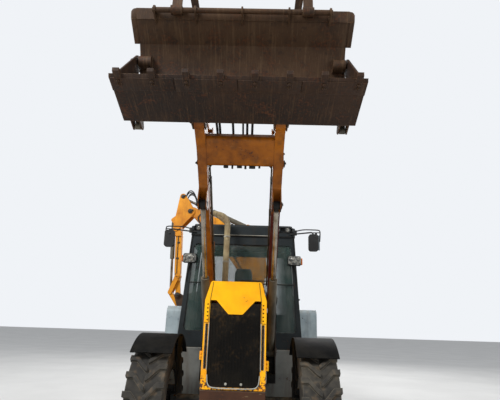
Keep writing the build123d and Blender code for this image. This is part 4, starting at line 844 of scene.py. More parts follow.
class LOADER_OT_tyres(bpy.types.Operator):
    """Builds the four tyres with their sidewalls and chevron lugs"""

    bl_idname = "loader.tyres"
    bl_label = "Tyres"

    def carcass(self, centre):
        """A drum whose ends are drawn in to the sidewalls and beads, then opened and closed inside."""
        nothing_selected()
        bpy.ops.mesh.primitive_cylinder_add(
            vertices=96, radius=TYRE_DRUM_RADIUS, depth=0.40, location=centre, rotation=(0, math.pi / 2, 0)
        )
        piece = settle(bpy.context.object)
        for hand in (LEFT, RIGHT):
            choose_faces(piece, lambda face: face.normal.x * hand > 0.95 and len(face.vertices) > 4)
            for drawn_in, out in SIDEWALL_STEPS:
                bpy.ops.mesh.inset(thickness=drawn_in)
                bpy.ops.transform.translate(value=(out * hand, 0, 0))
            bpy.ops.mesh.delete(type="ONLY_FACE")
        bpy.ops.mesh.select_mode(type="EDGE")
        bpy.ops.mesh.select_all(action="DESELECT")
        bpy.ops.mesh.select_non_manifold(
            extend=False, use_wire=False, use_boundary=True, use_multi_face=False, use_non_contiguous=False,
            use_verts=False,
        )
        bpy.ops.mesh.bridge_edge_loops()
        face_out()
        return softened(piece, 0)

    def lug(self, centre, hand, height):
        """One lug from the shoulder to past the middle, bent round the drum as it is drawn out."""
        nothing_selected()
        top = centre + Vector((hand * 0.175, 0, 0.652 + height / 2))
        bpy.ops.mesh.primitive_cube_add(size=1, location=top, scale=(0.070, 0.066, height + 0.018))
        piece = settle(bpy.context.object)
        for way, steps in ((-hand, LUG_STEPS), (hand, LUG_HEEL_STEPS)):
            end = max(piece.data.polygons, key=lambda face: way * (face.center.x - top.x)).index
            choose_faces(piece, lambda face: face.index == end)
            for along, turn, width in steps:
                bpy.ops.mesh.extrude_region_move(TRANSFORM_OT_translate={"value": (way * along, 0, 0)})
                bend = -math.radians(turn)
                bpy.ops.transform.rotate(value=bend, orient_axis="X", center_override=tuple(centre))
                bpy.ops.transform.resize(value=(1, width, 1))
            bpy.ops.object.mode_set(mode="OBJECT")
        face_out()
        return softened(piece, 0.008, 2)

    def tread(self, centre, sizes):
        """The carcass and its lugs, those of the right side half a pitch on."""
        parts = [self.carcass(centre)]
        pitch = 2 * math.pi / sizes.lug_count
        for hand in (LEFT, RIGHT):
            lug = self.lug(centre, hand, sizes.lug_height)
            turns = [rolled(centre, pitch * number) for number in range(1, sizes.lug_count)]
            parts += [*(copied(lug, turn) for turn in turns), lug]
        for part in parts[-sizes.lug_count:]:
            part.data.transform(rolled(centre, pitch / 2))
        return joined(parts)

    def execute(self, context):
        for axle in ("front", "rear"):
            for side_name in ("left", "right"):
                node = f"tyre_{axle}_{side_name}"
                low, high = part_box(node)
                tread = self.tread((low + high) / 2, context.scene.loader_sizes)
                body = f"wheel_{axle}_{side_name}"
                hand_over(tread, f"tread_{axle}_{side_name}", "tyre rubber", body, "tyre_rubber", node)
        return {"FINISHED"}


class LOADER_OT_seat(bpy.types.Operator):
    """Pads the seat's cushion and back, with piping, bellows, slides and armrests"""

    bl_idname = "loader.seat"
    bl_label = "Seat"

    def padded_form(self, low, high, lean=0.0, narrow=0.0, wings=0.0, crown=0.0):
        """A rounded block with raised sides if wanted, leaning back, and narrower and rounder at its top."""
        piece = block(low, high, 0.045, 5)
        middle, half = (low + high) / 2, (high - low) / 2
        for vertex in piece.data.vertices:
            share = (vertex.co.z - low.z) / (high.z - low.z)
            across = (vertex.co.x - middle.x) / half.x
            vertex.co.x = middle.x + (vertex.co.x - middle.x) * (1 - narrow * share ** 2)
            vertex.co.y += lean * (share - 0.5)
            vertex.co.z -= crown * across ** 4 * max(0.0, share - 0.5) * 2
            if wings and vertex.co.y < middle.y:
                vertex.co.y -= wings * across ** 2
        return piece

    def blown_up(self, piece):
        """The form blown up as cloth over foam, no point moving further than PAD_SWELL."""
        choose(piece)
        piece.data.remesh_voxel_size = PAD_VOXEL
        bpy.ops.object.voxel_remesh()
        rest = [vertex.co.copy() for vertex in piece.data.vertices]
        cloth = piece.modifiers.new("Cloth", "CLOTH")
        cloth.settings.use_pressure = True
        cloth.settings.uniform_pressure_force = 4
        cloth.settings.effector_weights.gravity = 0
        cloth.settings.tension_stiffness = 20
        scene = bpy.context.scene
        for number in range(1, 21):
            scene.frame_set(number)
        bpy.ops.object.modifier_apply(modifier="Cloth")
        scene.frame_set(1)
        for vertex, start in zip(piece.data.vertices, rest):
            move = vertex.co - start
            if move.length > PAD_SWELL:
                vertex.co = start + move * (PAD_SWELL / move.length)

    def pad(self, name, low, high, **shape):
        piece = self.padded_form(low, high, **shape)
        self.blown_up(piece)
        with_modifier(piece, "SUBSURF", levels=1, render_levels=1)
        bpy.ops.object.shade_smooth()
        piece.name = name
        return piece

    def piping(self, piece, guide, closed=False):
        """A sewn bead that lies on the pad."""
        laid = []
        for point in guide:
            _, where, facing, _ = piece.closest_point_on_mesh(place(*point))
            laid.append(where + facing * 0.001)
        return line(laid, 0.0035, closed=closed)

    def pedestal(self):
        parts = [slab(place, (-150, 1550, 1347), (150, 1850, 1372), 0.008)]
        parts += [slab(place, (across - 18, 1500, 1690), (across + 18, 1900, 1712)) for across in (-120, 120)]
        for fold in range(7):
            up = 1374 + 44 * fold
            wide = 132 + (12 if fold % 2 else 0)
            parts.append(slab(place, (-wide, 1700 - wide, up), (wide, 1700 + wide, up + 44), 0.014, 3))
        parts.append(rod(place, (160, 1560, 1700), (205, 1560, 1700), 0.022, bevel=0.006))
        parts.append(rod(place, (-160, 1620, 1660), (-200, 1600, 1700), 0.008))
        return joined(parts)

    def execute(self, context):
        hand_over(self.pedestal(), "seat_pedestal", "black plastic", "machine", "seat_cover", "seat")
        cushion = self.pad("seat_cushion", place(-228, 1456, 1733), place(228, 1930, 1852))
        low, high = place(-200, 1915, 1866), place(200, 2035, 2600)
        back = self.pad("seat_back", low, high, lean=0.05, narrow=0.24, wings=0.03, crown=0.10)
        rim = (
            (-215, 1470), (0, 1460), (215, 1470), (220, 1700), (215, 1915), (0, 1925), (-215, 1915),
            (-220, 1700),
        )
        beads = [self.piping(cushion, [(*spot, 1845) for spot in rim], closed=True)]
        for across in (-130, 130):
            beads.append(self.piping(cushion, [(across, 1460 + 46 * k, 1900) for k in range(11)]))
            beads.append(self.piping(back, [(across * 0.95, 1850, 1900 + 66 * k) for k in range(11)]))
        for up in (2080, 2400):
            beads.append(self.piping(back, [(-190 + 38 * k, 1850, up) for k in range(11)]))
        hand_over(joined(beads), "seat_piping", "seal rubber", "machine", "seat_cover")
        hand_over(cushion, "seat_cushion", "seat cloth", "machine", "seat_cover")
        hand_over(back, "seat_back", "seat cloth", "machine", "seat_cover")
        arms = []
        for hand in (RIGHT, LEFT):
            beside = hand * 262
            arms.append(slab(place, (beside - 26, 1640, 2010), (beside + 26, 1960, 2052), 0.018, 4))
            arms.append(rod(place, (hand * 250, 1940, 2030), (hand * 205, 1990, 2030), 0.014))
        hand_over(joined(arms), "seat_armrests", "black plastic", "machine", "seat_cover")
        return {"FINISHED"}


class LOADER_OT_arm_lines(bpy.types.Operator):
    """Runs the pipes, hoses and clamps along the loader arms to the bucket"""

    bl_idname = "loader.arm_lines"
    bl_label = "Loader arm lines"

    def pipe(self, hand, lane, above):
        """One steel pipe along an arm, from its foot to the crosspiece, where the lanes end side by side."""
        lay, turn = hand * PIPES_ACROSS, hand * (300 - 45 * lane)
        guide = (
            (lay, 250, above - 40), (lay, 420, above - 20), (lay, 900, above), (lay, 1500, above + 20),
            (lay, 2080, above + 24), (lay, 2150, above + 30), (turn, 2175, 172), (turn, 2210, 176),
        )
        return run(on_arm, guide, 0.0085)

    def pipe_clamps(self, hand):
        for along in (520, 1000, 1480, 1960):
            lean = 20 if along > 1200 else 4
            near = hand * (PIPES_ACROSS + 1)
            yield slab(on_arm, (near - 12, along - 24, 76 + lean), (near + 12, along + 24, 160 + lean))

    def edge_clamps(self):
        """The small brackets under the crosspiece's lower edge, each with its own width and drop."""
        sizes = ((-168, 56, 22), (-92, 22, 30), (-8, 60, 20), (62, 26, 30), (142, 74, 24), (226, 24, 18))
        for across, wide, drop in sizes:
            edge, half = on_arm(across, 2214, 16), wide / 2000
            yield block(edge - Vector((half, 0.016, drop / 1000)), edge + Vector((half, 0.016, 0.014)), 0.005)

    def execute(self, context):
        radius = context.scene.loader_sizes.hose_radius
        pipes, clamps, hoses, bridges = [], [], [], []
        for hand in (RIGHT, LEFT):
            pipes += [self.pipe(hand, lane, above) for lane, above in enumerate((96, 140))]
            clamps += self.pipe_clamps(hand)
        for across, sway in CROSS_HOSES:
            fat = radius * (0.8 if abs(across) < 50 else 1.0)
            top = (across * 1.04, 2640, 150 + 20 * sway)
            over = (
                (across, 2192, 150), (across, 2200, 176), (across * 1.01, 2290, 178),
                (across * 1.02, 2420, 174), (across * 1.03, 2560, 176), top,
            )
            hoses.append(run(on_arm, over, fat))
            clamps.append(slab(on_arm, (across - 24, 2205, 150), (across + 24, 2245, 196)))
            clamps.append(rod(on_arm, (across, 2182, 132), (across, 2200, 176), fat + 0.005, 6))
        clamps += self.edge_clamps()
        hand_over(joined(pipes), "arm_pipes", "line steel", "loader_arms", "black_parts")
        hand_over(joined(clamps), "arm_clamps", "black plastic", "loader_arms", "black_parts")
        hand_over(joined(hoses), "arm_hoses", "hose rubber", "loader_arms", "black_parts")
        for across, sway in CROSS_HOSES:
            fat = radius * (0.8 if abs(across) < 50 else 1.0)
            leaving = (
                (across * 1.035, 2600, 164), (across * 1.04, 2640, 150 + 20 * sway),
                (across * 1.06, 2720, 118 + 30 * sway),
            )
            arriving = (
                (across * 1.1, -62, 236 + 20 * sway), (across * 1.12, -40, 300), (across * 1.12, -22, 360),
            )
            bridges.append(line([on_arm(*p) for p in leaving] + [on_bucket(*p) for p in arriving], fat))
        bridge = hand_over(joined(bridges), "bucket_hoses", "hose rubber", None, "black_parts")
        start, end = on_arm(0, 2640, 160), on_bucket(0, -60, 240)
        tuple(start)
        tuple(end)
        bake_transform(bridge)
        return {"FINISHED"}


class LOADER_OT_pins(bpy.types.Operator):
    """Puts a head, a keeper and a grease nipple on the ends of the pivot pins that show"""

    bl_idname = "loader.pins"
    bl_label = "Pivot pins"

    def pin_head(self, where, facing, radius, lean=0.0):
        """A bevelled cap, its keeper plate with a screw, and the nipple in its middle."""
        cap = round_bar((0, 0, -0.001), (0, 0, 0.010), radius, 32, 0.003)
        dish = round_bar((0, 0, 0.008), (0, 0, 0.014), radius * 0.62, 24, 0.002)
        keeper = block((radius * 0.2, -radius * 0.34, 0.008), (radius * 1.5, radius * 0.34, 0.018), 0.003)
        nipple = round_bar((0, 0, 0.012), (0, 0, 0.028), 0.006, 10, 0.001, tip=0.004)
        head = joined([cap, dish, keeper, nipple, bolt((radius * 1.2, 0, 0.018), 0.018)])
        return stood(head, where, facing, lean)

    def execute(self, context):
        heads = {}

        def add(body, where, facing, radius, lean=0.0):
            heads.setdefault(body, []).append(self.pin_head(where, facing, radius, lean))

        for hand in (RIGHT, LEFT):
            side = (hand, 0, 0)
            for body, spot, radius in (
                ("machine", on_arm(hand * 522, 0, 0), 0.060),
                ("loader_arms", on_arm(hand * 501, *LIFT_PIN), 0.046),
                ("loader_arms", on_arm(hand * 501, 720, 360), 0.040),
                ("bellcranks", on_arm(hand * 526, 2150, 220), 0.044),
                ("bellcranks", on_arm(hand * 521, 2391, 605), 0.038),
                ("bellcranks", on_arm(hand * 521, 2148, 480), 0.038),
                ("bucket", on_arm(hand * 524, 2774.6, 0), 0.050),
                ("bucket", on_bucket(hand * 521, -120, 550), 0.040),
                ("machine", place(hand * 522, 800, 1240), 0.054),
            ):
                add(body, spot, side, radius, 0.6 * hand)
            add("bucket", on_bucket(hand * 1211, 170, 740), side, 0.042)
            add("jaw", on_bucket(hand * 1186, -80, 850), side, 0.034)
        for way in (-1, 1):
            for body, spot, radius in (
                ("kingpost", (140, 1350), 0.060), ("boom", (1720, 3950), 0.052),
                ("boom", (1900, 4280), 0.046), ("dipper", (1870, 2150), 0.046),
            ):
                add(body, on_hoe(way * 148, *spot), (0, way, 0), radius, 0.4)
        for body, made in heads.items():
            slot = "backhoe_paint" if body in ("kingpost", "boom", "dipper") else "black_parts"
            hand_over(joined(made), "pins_" + body, "pin steel", body, slot)
        return {"FINISHED"}


class LOADER_OT_hood_trim(bpy.types.Operator):
    """Fits the hood's seals, seams, slot inserts, rim, side blocks and louvres"""

    bl_idname = "loader.hood_trim"
    bl_label = "Hood trim"

    def front_trim(self):
        """What lies on the hood's front: slot inserts, seals, seams and the grille's rim."""
        inserts, pale, dark = [], [], []
        for hand in (RIGHT, LEFT):
            slot, face = hand * 313, HOOD_FRONT
            inserts.append(slab(place, (slot - 11, face + 4, 1134), (slot + 11, face + 22, 1596), 0.003))
            for up in range(1180, 1553, 62):
                inserts.append(slab(place, (slot - 9, face - 1, up), (slot + 9, face + 6, up + 8), 0.002))
            inner = ((hand * 292, face - 3, 1120), (hand * 291, face - 4, 1350), (hand * 289, face - 3, 1610))
            outer = ((hand * 330, face - 1, 1120), (hand * 330, face - 1, 1600))
            grille = ((hand * 286, face + 3, 975), (hand * 286, face + 2, 1400), (hand * 286, face + 4, 1800))
            pale.append(run(place, inner, 0.0045))
            dark.append(run(place, grille, 0.004))
            pale.append(run(place, outer, 0.002))
        half = ((284, 2, 1075), (280, 4, 1000), (262, 6, 966), (232, 7, 944))
        guide = [(-across, HOOD_FRONT - proud, up) for across, proud, up in half]
        guide += [(0, HOOD_FRONT - 8, 940)]
        guide += [(across, HOOD_FRONT - proud, up) for across, proud, up in reversed(half)]
        rim = [run(place, guide, 0.006)]
        for across in (-78, 88):
            rim.append(stood(bolt((0, 0, 0), 0.020), place(across, HOOD_FRONT - 2, 985), (0, -1, 0)))
        for hand in (RIGHT, LEFT):
            seam = (
                (262, 2058), (268, 2010), (275, 1960), (282, 1905), (289, 1850), (293, 1780), (296, 1700),
                (297, 1612),
            )
            branch = ((297, 1612), (320, 1612), (345, 1612))
            for guide, radius in ((seam, 0.003), (branch, 0.0028)):
                laid = [on_front("hood", hand * across, up, 0.001) for across, up in guide]
                dark.append(line(laid, radius))
        hand_over(joined(inserts), "hood_slot_inserts", "seal rubber", "hood", "black_parts")
        hand_over(joined(pale), "hood_seals_pale", "pale seal", "hood", "black_parts")
        hand_over(joined(dark), "hood_seals_dark", "seal rubber", "hood", "black_parts")
        hand_over(joined(rim), "grille_rim", "pale seal", "hood", "black_parts")

    def side_trim(self):
        """The blocks and short hoses beside the hood's front, then its catches and louvres."""
        sides, loops, louvres = [], [], []
        for hand, up, deep in ((-1, 1215, 92), (1, 1120, 104)):
            near, far = sorted((hand * 346, hand * 384))
            sides.append(slab(place, (near, -590, up), (far, -545, up + deep), 0.006))
            for share in (0.3, 0.7):
                spot = place(hand * 366, -590, up + deep * share)
                sides.append(stood(bolt((0, 0, 0), 0.014), spot, (0, -1, 0)))
            loop = (
                (353, -570, 6), (355, -575, -40), (356, -580, -80), (355, -575, -118), (352, -560, -128),
                (344, -540, -120),
            )
            guide = [(hand * across, rearward, up + drop) for across, rearward, drop in loop]
            loops.append(run(place, guide, 0.0055))
        hand_over(joined(sides), "hood_side_blocks", "hood paint", "hood", "body_paint")
        hand_over(joined(loops), "hood_side_hoses", "pale seal", "hood", "black_parts")
        for hand in (RIGHT, LEFT):
            louvres.append(slab(place, (hand * 351 - 4, 250, 1500), (hand * 351 + 4, 360, 1560), 0.003))
            louvres.append(rod(place, (hand * 350, 305, 1530), (hand * 362, 305, 1530), 0.016))
            for up in range(1180, 1533, 44):
                louvres.append(slab(place, (hand * 352 - 3, -330, up), (hand * 352 + 3, 60, up + 14), 0.002))
        hand_over(joined(louvres), "hood_side_louvres", "black plastic", "hood", "black_parts")

    def execute(self, context):
        self.front_trim()
        self.side_trim()
        return {"FINISHED"}


class LOADER_OT_lights(bpy.types.Operator):
    """Fits lamp shells, lamp fronts, indicators and the mirrors' glass and bars"""

    bl_idname = "loader.lights"
    bl_label = "Lights"

    def lamps(self):
        shells, amber, clear = [], [], []
        for hand in (RIGHT, LEFT):
            near, far = sorted((hand * 698, hand * 902))
            shells.append(slab(place, (near, 866, 2486), (far, 938, 2634), 0.022, 4))
            shells.append(rod(place, (hand * 800, 930, 2560), (hand * 815, 975, 2560), 0.03, tip=0.05))
            shells.append(rod(place, (hand * 800, 900, 2490), (hand * 830, 930, 2380), 0.012))
            near, far = sorted((hand * 903, hand * 924))
            amber.append(slab(place, (near, 862, 2500), (far, 930, 2600), 0.008, 3))
            near, far = sorted((hand * 862, hand * 900))
            clear.append(slab(place, (near, 848, 2506), (far, 868, 2616), 0.008, 3))
            start, end = (hand * 780, 856, 2560), (hand * 780, 846, 2560)
            clear.append(rod(place, start, end, 0.052, 32, 0.006, tip=0.040))
            for across in ROOF_LAMPS_ACROSS:
                spot = place(hand * across, 917, 3045)
                shells.append(ring(spot, (0, 1, 0), 0.040, 0.007))
                clear.append(round_bar(spot, spot - Vector((0, 0.010, 0)), 0.034, 32, 0.004, tip=0.022))
        hand_over(joined(shells), "lamp_shells", "black plastic", "machine", "black_parts")
        hand_over(joined(amber), "indicators", "amber lens", "machine", "lamp_lens")
        hand_over(joined(clear), "lamp_fronts", "lamp lens", "machine", "lamp_lens")

    def mirrors(self):
        glass, bars = [], []
        upper = (
            (815, 905, 3020), (900, 890, 3052), (1090, 830, 3040), (1180, 800, 3030), (1190, 800, 3000),
            (1186, 800, 2900), (1180, 800, 2850),
        )
        lower = ((820, 905, 2985), (1000, 850, 3000), (1180, 800, 2990))
        for hand in (RIGHT, LEFT):
            head, foot = hand * 1125, hand * 822
            glass.append(slab(place, (head - 62, 834, 2722), (head + 62, 838, 2958), 0.002))
            bars.append(rod(place, (head, 800, 2960), (head, 800, 2985), 0.018))
            bars.append(slab(place, (head - 20, 768, 2900), (head + 20, 776, 2930), 0.004))
            bars.append(slab(place, (foot - 20, 880, 2960), (foot + 20, 925, 3040), 0.006))
            bars.append(run(place, [(hand * across, *rest) for across, *rest in upper], 0.009))
            bars.append(run(place, [(hand * across, *rest) for across, *rest in lower], 0.007))
        hand_over(joined(glass), "mirror_glass", "mirror glass", "machine", "window_glass")
        hand_over(joined(bars), "mirror_joints", "black plastic", "machine", "black_parts")

    def execute(self, context):
        self.lamps()
        self.mirrors()
        return {"FINISHED"}


class LOADER_OT_cab_trim(bpy.types.Operator):
    """Fits the cab's seals, visor, wiper, handles, rails, steps and controls"""

    bl_idname = "loader.cab_trim"
    bl_label = "Cab trim"

    def seals(self):
        """The roof's drip line, the slatted visor, the seals round the front glass, and the wiper."""
        drip = run(place, ((-470, 922, 2944), (0, 919, 2944), (470, 922, 2944)), 0.005)
        hand_over(drip, "roof_drip_line", "pale seal", "machine", "cab_dark")
        dark = []
        for across in range(-460, 461, 40):
            dark.append(slab(place, (across, 955, 2790), (across + 36, 962, 2925), 0.002))
        dark.append(run(place, ((-800, 940, 2200), (0, 936, 2200), (800, 940, 2200)), 0.009))
        dark.append(run(place, ((-760, 936, 2930), (0, 932, 2930), (760, 936, 2930)), 0.007))
        for hand in (RIGHT, LEFT):
            beside = ((hand * 838, 938, 2205), (hand * 820, 938, 2560), (hand * 790, 938, 2925))
            dark.append(run(place, beside, 0.007))
            dark.append(rod(place, (hand * 905, 1180, 2000), (hand * 905, 1300, 2000), 0.012))
        dark.append(rod(place, (-90, 930, 2215), (-80, 918, 2225), 0.018))
        dark.append(run(place, ((-85, 916, 2225), (100, 912, 2235), (300, 912, 2240)), 0.006))
        dark.append(slab(place, (-20, 908, 2236), (480, 916, 2252), 0.003))
        hand_over(joined(dark), "cab_seals", "seal rubber", "machine", "black_parts")

    def rails(self):
        rails = []
        bend = ((900, 1500), (945, 1520), (945, 1700), (940, 1850), (885, 1885))
        for hand in (RIGHT, LEFT):
            rails.append(run(place, [(hand * across, 1880, up) for across, up in bend], 0.012))
        hand_over(joined(rails), "grab_rails", "black plastic", "machine", "black_parts")
        bow = ((905, 1700, 1980), (940, 1700, 1985), (944, 1740, 1985), (940, 1800, 1985), (905, 1800, 1980))
        for hand, side_name in ((LEFT, "left"), (RIGHT, "right")):
            grip = [
                run(place, [(hand * across, *rest) for across, *rest in bow], 0.010),
                slab(place, (hand * 908 - 8, 1690, 1950), (hand * 908 + 8, 1820, 2010), 0.005),
                rod(place, (hand * 905, 1755, 1935), (hand * 922, 1755, 1935), 0.012),
            ]
            handle, door = "door_handle_" + side_name, "door_" + side_name
            hand_over(joined(grip), handle, "black plastic", door, "black_parts")

    def controls(self):
        """Levers with knobs and boots, side consoles, dials and pedals."""
        made = []
        for across, rearward, lean in ((300, 1500, 20), (340, 1560, 10), (-300, 1500, -20), (-345, 1600, -8)):
            tip, back = across + lean * 2, rearward - 40
            stick = ((across, rearward, 1900), (across + lean, rearward - 10, 2010), (tip, back, 2110))
            made.append(run(place, stick, 0.008))
            made.append(rod(place, (tip, back, 2100), (tip, back - 4, 2160), 0.017, tip=0.026, bevel=0.008))
            made.append(rod(place, (across, rearward, 1880), (across, rearward, 1930), 0.045, tip=0.016))
        for hand in (RIGHT, LEFT):
            console = hand * 330
            made.append(slab(place, (console - 70, 1430, 1660), (console + 70, 1960, 1890), 0.03, 4))
            made.append(slab(place, (console - 40, 1450, 1345), (console + 40, 1700, 1665), 0.02, 3))
        for across in (-90, 0, 90):
            made.append(rod(place, (across, 1030, 1975), (across, 1018, 2005), 0.036, 28, 0.004))
        for across in (-140, 140):
            made.append(slab(place, (across - 40, 1090, 1345), (across + 40, 1110, 1480), 0.01))
        hand_over(joined(made), "cab_controls", "black plastic", "machine", "black_parts")

    def steps(self):
        made = []
        for hand in (RIGHT, LEFT):
            near, far = sorted((hand * 853, hand * 905))
            for up in (600, 880, 1150):
                made.append(slab(place, (near, 1180, up), (far, 1480, up + 22), 0.005))
                for rearward in range(1196, 1453, 32):
                    made.append(slab(place, (near, rearward, up + 22), (far, rearward + 6, up + 30), 0.002))
        hand_over(joined(made), "steps", "black plastic", "machine", "black_parts")

    def execute(self, context):
        self.seals()
        self.rails()
        self.controls()
        self.steps()
        return {"FINISHED"}


class LOADER_OT_exhaust_sleeve(bpy.types.Operator):
    """Wraps the exhaust in its pale heat shield, with clamps and a dark outlet"""

    bl_idname = "loader.exhaust_sleeve"
    bl_label = "Exhaust sleeve"

    def execute(self, context):
        across, rearward = EXHAUST_PLACE
        guide = (
            *((across, rearward, up) for up in (2060, 2400, 2800, 3010)),
            (-236, rearward, 3110), (-290, 733, 3195), (-390, 738, 3230), (-470, 743, 3238),
        )
        sleeve = run(place, guide, 0.044, sides=6)
        hand_over(sleeve, "exhaust_sleeve", "exhaust steel", "machine", "exhaust_steel")
        bands = []
        for up in (2110, 2480, 2860):
            bands.append(rod(place, (across, rearward, up), (across, rearward, up + 26), 0.049, 32, 0.003))
            low, high = (across - 8, rearward - 70, up + 3), (across + 8, rearward - 44, up + 23)
            bands.append(slab(place, low, high, 0.003))
        hand_over(joined(bands), "exhaust_bands", "zinc", "machine", "exhaust_steel")
        end = rod(place, (-462, 742, 3238), (-500, 744, 3240), 0.047, 32, 0.004)
        hand_over(end, "exhaust_outlet", "seal rubber", "machine", "black_parts")
        return {"FINISHED"}


class LOADER_OT_wheel_fittings(bpy.types.Operator):
    """Bolts on the wheel nuts, the hub covers and the valves"""

    bl_idname = "loader.wheel_fittings"
    bl_label = "Wheel fittings"

    def circle(self, at, hand, out, radius, count, wide, offset=0.0):
        """Bolts round a wheel's axis, facing out; at gives a place from the wheel's face."""
        for number in range(count):
            turn = 2 * math.pi * (number + offset) / count
            spot = at(out, radius * math.cos(turn), radius * math.sin(turn))
            yield stood(bolt((0, 0, 0), wide), spot, (hand, 0, 0))

    def fittings(self, low, high, hand):
        """The nuts, the hub with its screwed cap and the valve of the wheel whose rim fills this box."""
        middle = (low + high) / 2
        face = (high.x if hand > 0 else low.x) - hand * 0.055

        def at(out, rearward=0.0, up=0.0):
            return Vector((face + hand * out, middle.y + rearward, middle.z + up))

        parts = [*self.circle(at, hand, 0, 0.135, 10, 0.030)]
        parts.append(round_bar(at(0), at(0.05), 0.098, 40, 0.01, tip=0.078))
        parts.append(round_bar(at(0.04), at(0.075), 0.05, 32, 0.008, tip=0.044))
        parts += self.circle(at, hand, 0.05, 0.066, 6, 0.014, offset=0.5)
        parts.append(round_bar(at(0, up=0.262), at(0.05, up=0.27), 0.006))
        return joined(parts)

    def execute(self, context):
        for axle in ("front", "rear"):
            for side_name, hand in (("left", LEFT), ("right", RIGHT)):
                low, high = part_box(f"rim_{axle}_{side_name}")
                body = f"wheel_{axle}_{side_name}"
                made = self.fittings(low, high, hand)
                hand_over(made, f"hub_{axle}_{side_name}", "rim paint", body, "rim_paint")
        return {"FINISHED"}


class LOADER_OT_bucket_trim(bpy.types.Operator):
    """Adds the bucket's lip ends, welds, wear strips and tooth bolts"""

    bl_idname = "loader.bucket_trim"
    bl_label = "Bucket trim"

    def weld(self, guide, radius=0.006):
        """A rippled bead of weld along a line of places on the bucket."""
        bead = run(on_bucket, guide, radius, sides=2)
        for vertex in bead.data.vertices:
            ripple = math.sin(vertex.co.x * 700 + vertex.co.y * 610 + vertex.co.z * 530)
            vertex.co += Vector((0.0006, 0.0006, 0.0006)) * ripple
        return bead

    def plate(self, corners, thick):
        return sheet([on_bucket(*corner) for corner in corners], thick)

    def bucket_parts(self):
        ends = []
        for hand in (RIGHT, LEFT):
            near, far = hand * 1149, hand * 1207
            side = ((near, 300, 902), (far, 300, 902), (far, 556, 988), (near, 556, 988))
            corner = (
                (near, 556, 988), (far, 556, 988), (far, 596, 1045), (hand * 1196, 608, 1062),
                (hand * 1180, 616, 1072), (near, 619, 1077),
            )
            ends += [self.plate(side, 0.014), self.plate(corner, 0.014)]
        hand_over(joined(ends), "bucket_lip_ends", "bucket steel", "bucket", "bucket_steel")
        beads = []
        for gusset in (-938, -500, 0, 500, 938):
            for across in (gusset - 10, gusset + 10):
                along_gusset = [(across, 330 + 0.9 * k * 25, 916 + k * 7.6) for k in range(10)]
                beads.append(self.weld(along_gusset, 0.005))
        beads.append(self.weld([(across, 556, 978) for across in range(-1140, 1141, 120)]))
        for across in (-1040, -780, 780, 1040):
            beads.append(self.weld([(across, -6, up) for up in (40, 110, 180)]))
        hand_over(joined(beads), "bucket_welds", "bucket steel", "bucket", "bucket_steel")

    def jaw_parts(self):
        floor = []
        up = on_bucket_up()
        for tooth in range(8):
            across = (tooth - 3.5) * TOOTH_PITCH
            for along in (520, 560):
                floor.append(stood(bolt((0, 0, 0), 0.024), on_bucket(across, along, 24), up))
                floor.append(stood(bolt((0, 0, 0), 0.024), on_bucket(across, along, -57), -up))
        for low, high in ((-1200, -604), (-596, -4), (4, 596), (604, 1200)):
            strip = ((low, 440, -44), (high, 440, -44), (high, 590, -46), (low, 590, -46))
            floor.append(self.plate(strip, 0.010))
        for across in (-1188, 1188):
            cheek = ((across, 60, 8), (across, 520, 8), (across, 480, 90), (across, 160, 120))
            floor.append(self.plate(cheek, 0.012))
        # the jaw's wear parts in its steel darkened as painted shade
        hand_over(joined(floor), "jaw_wear_parts", "jaw steel in painted shade", "jaw", "bucket_steel")

    def execute(self, context):
        self.bucket_parts()
        self.jaw_parts()
        return {"FINISHED"}


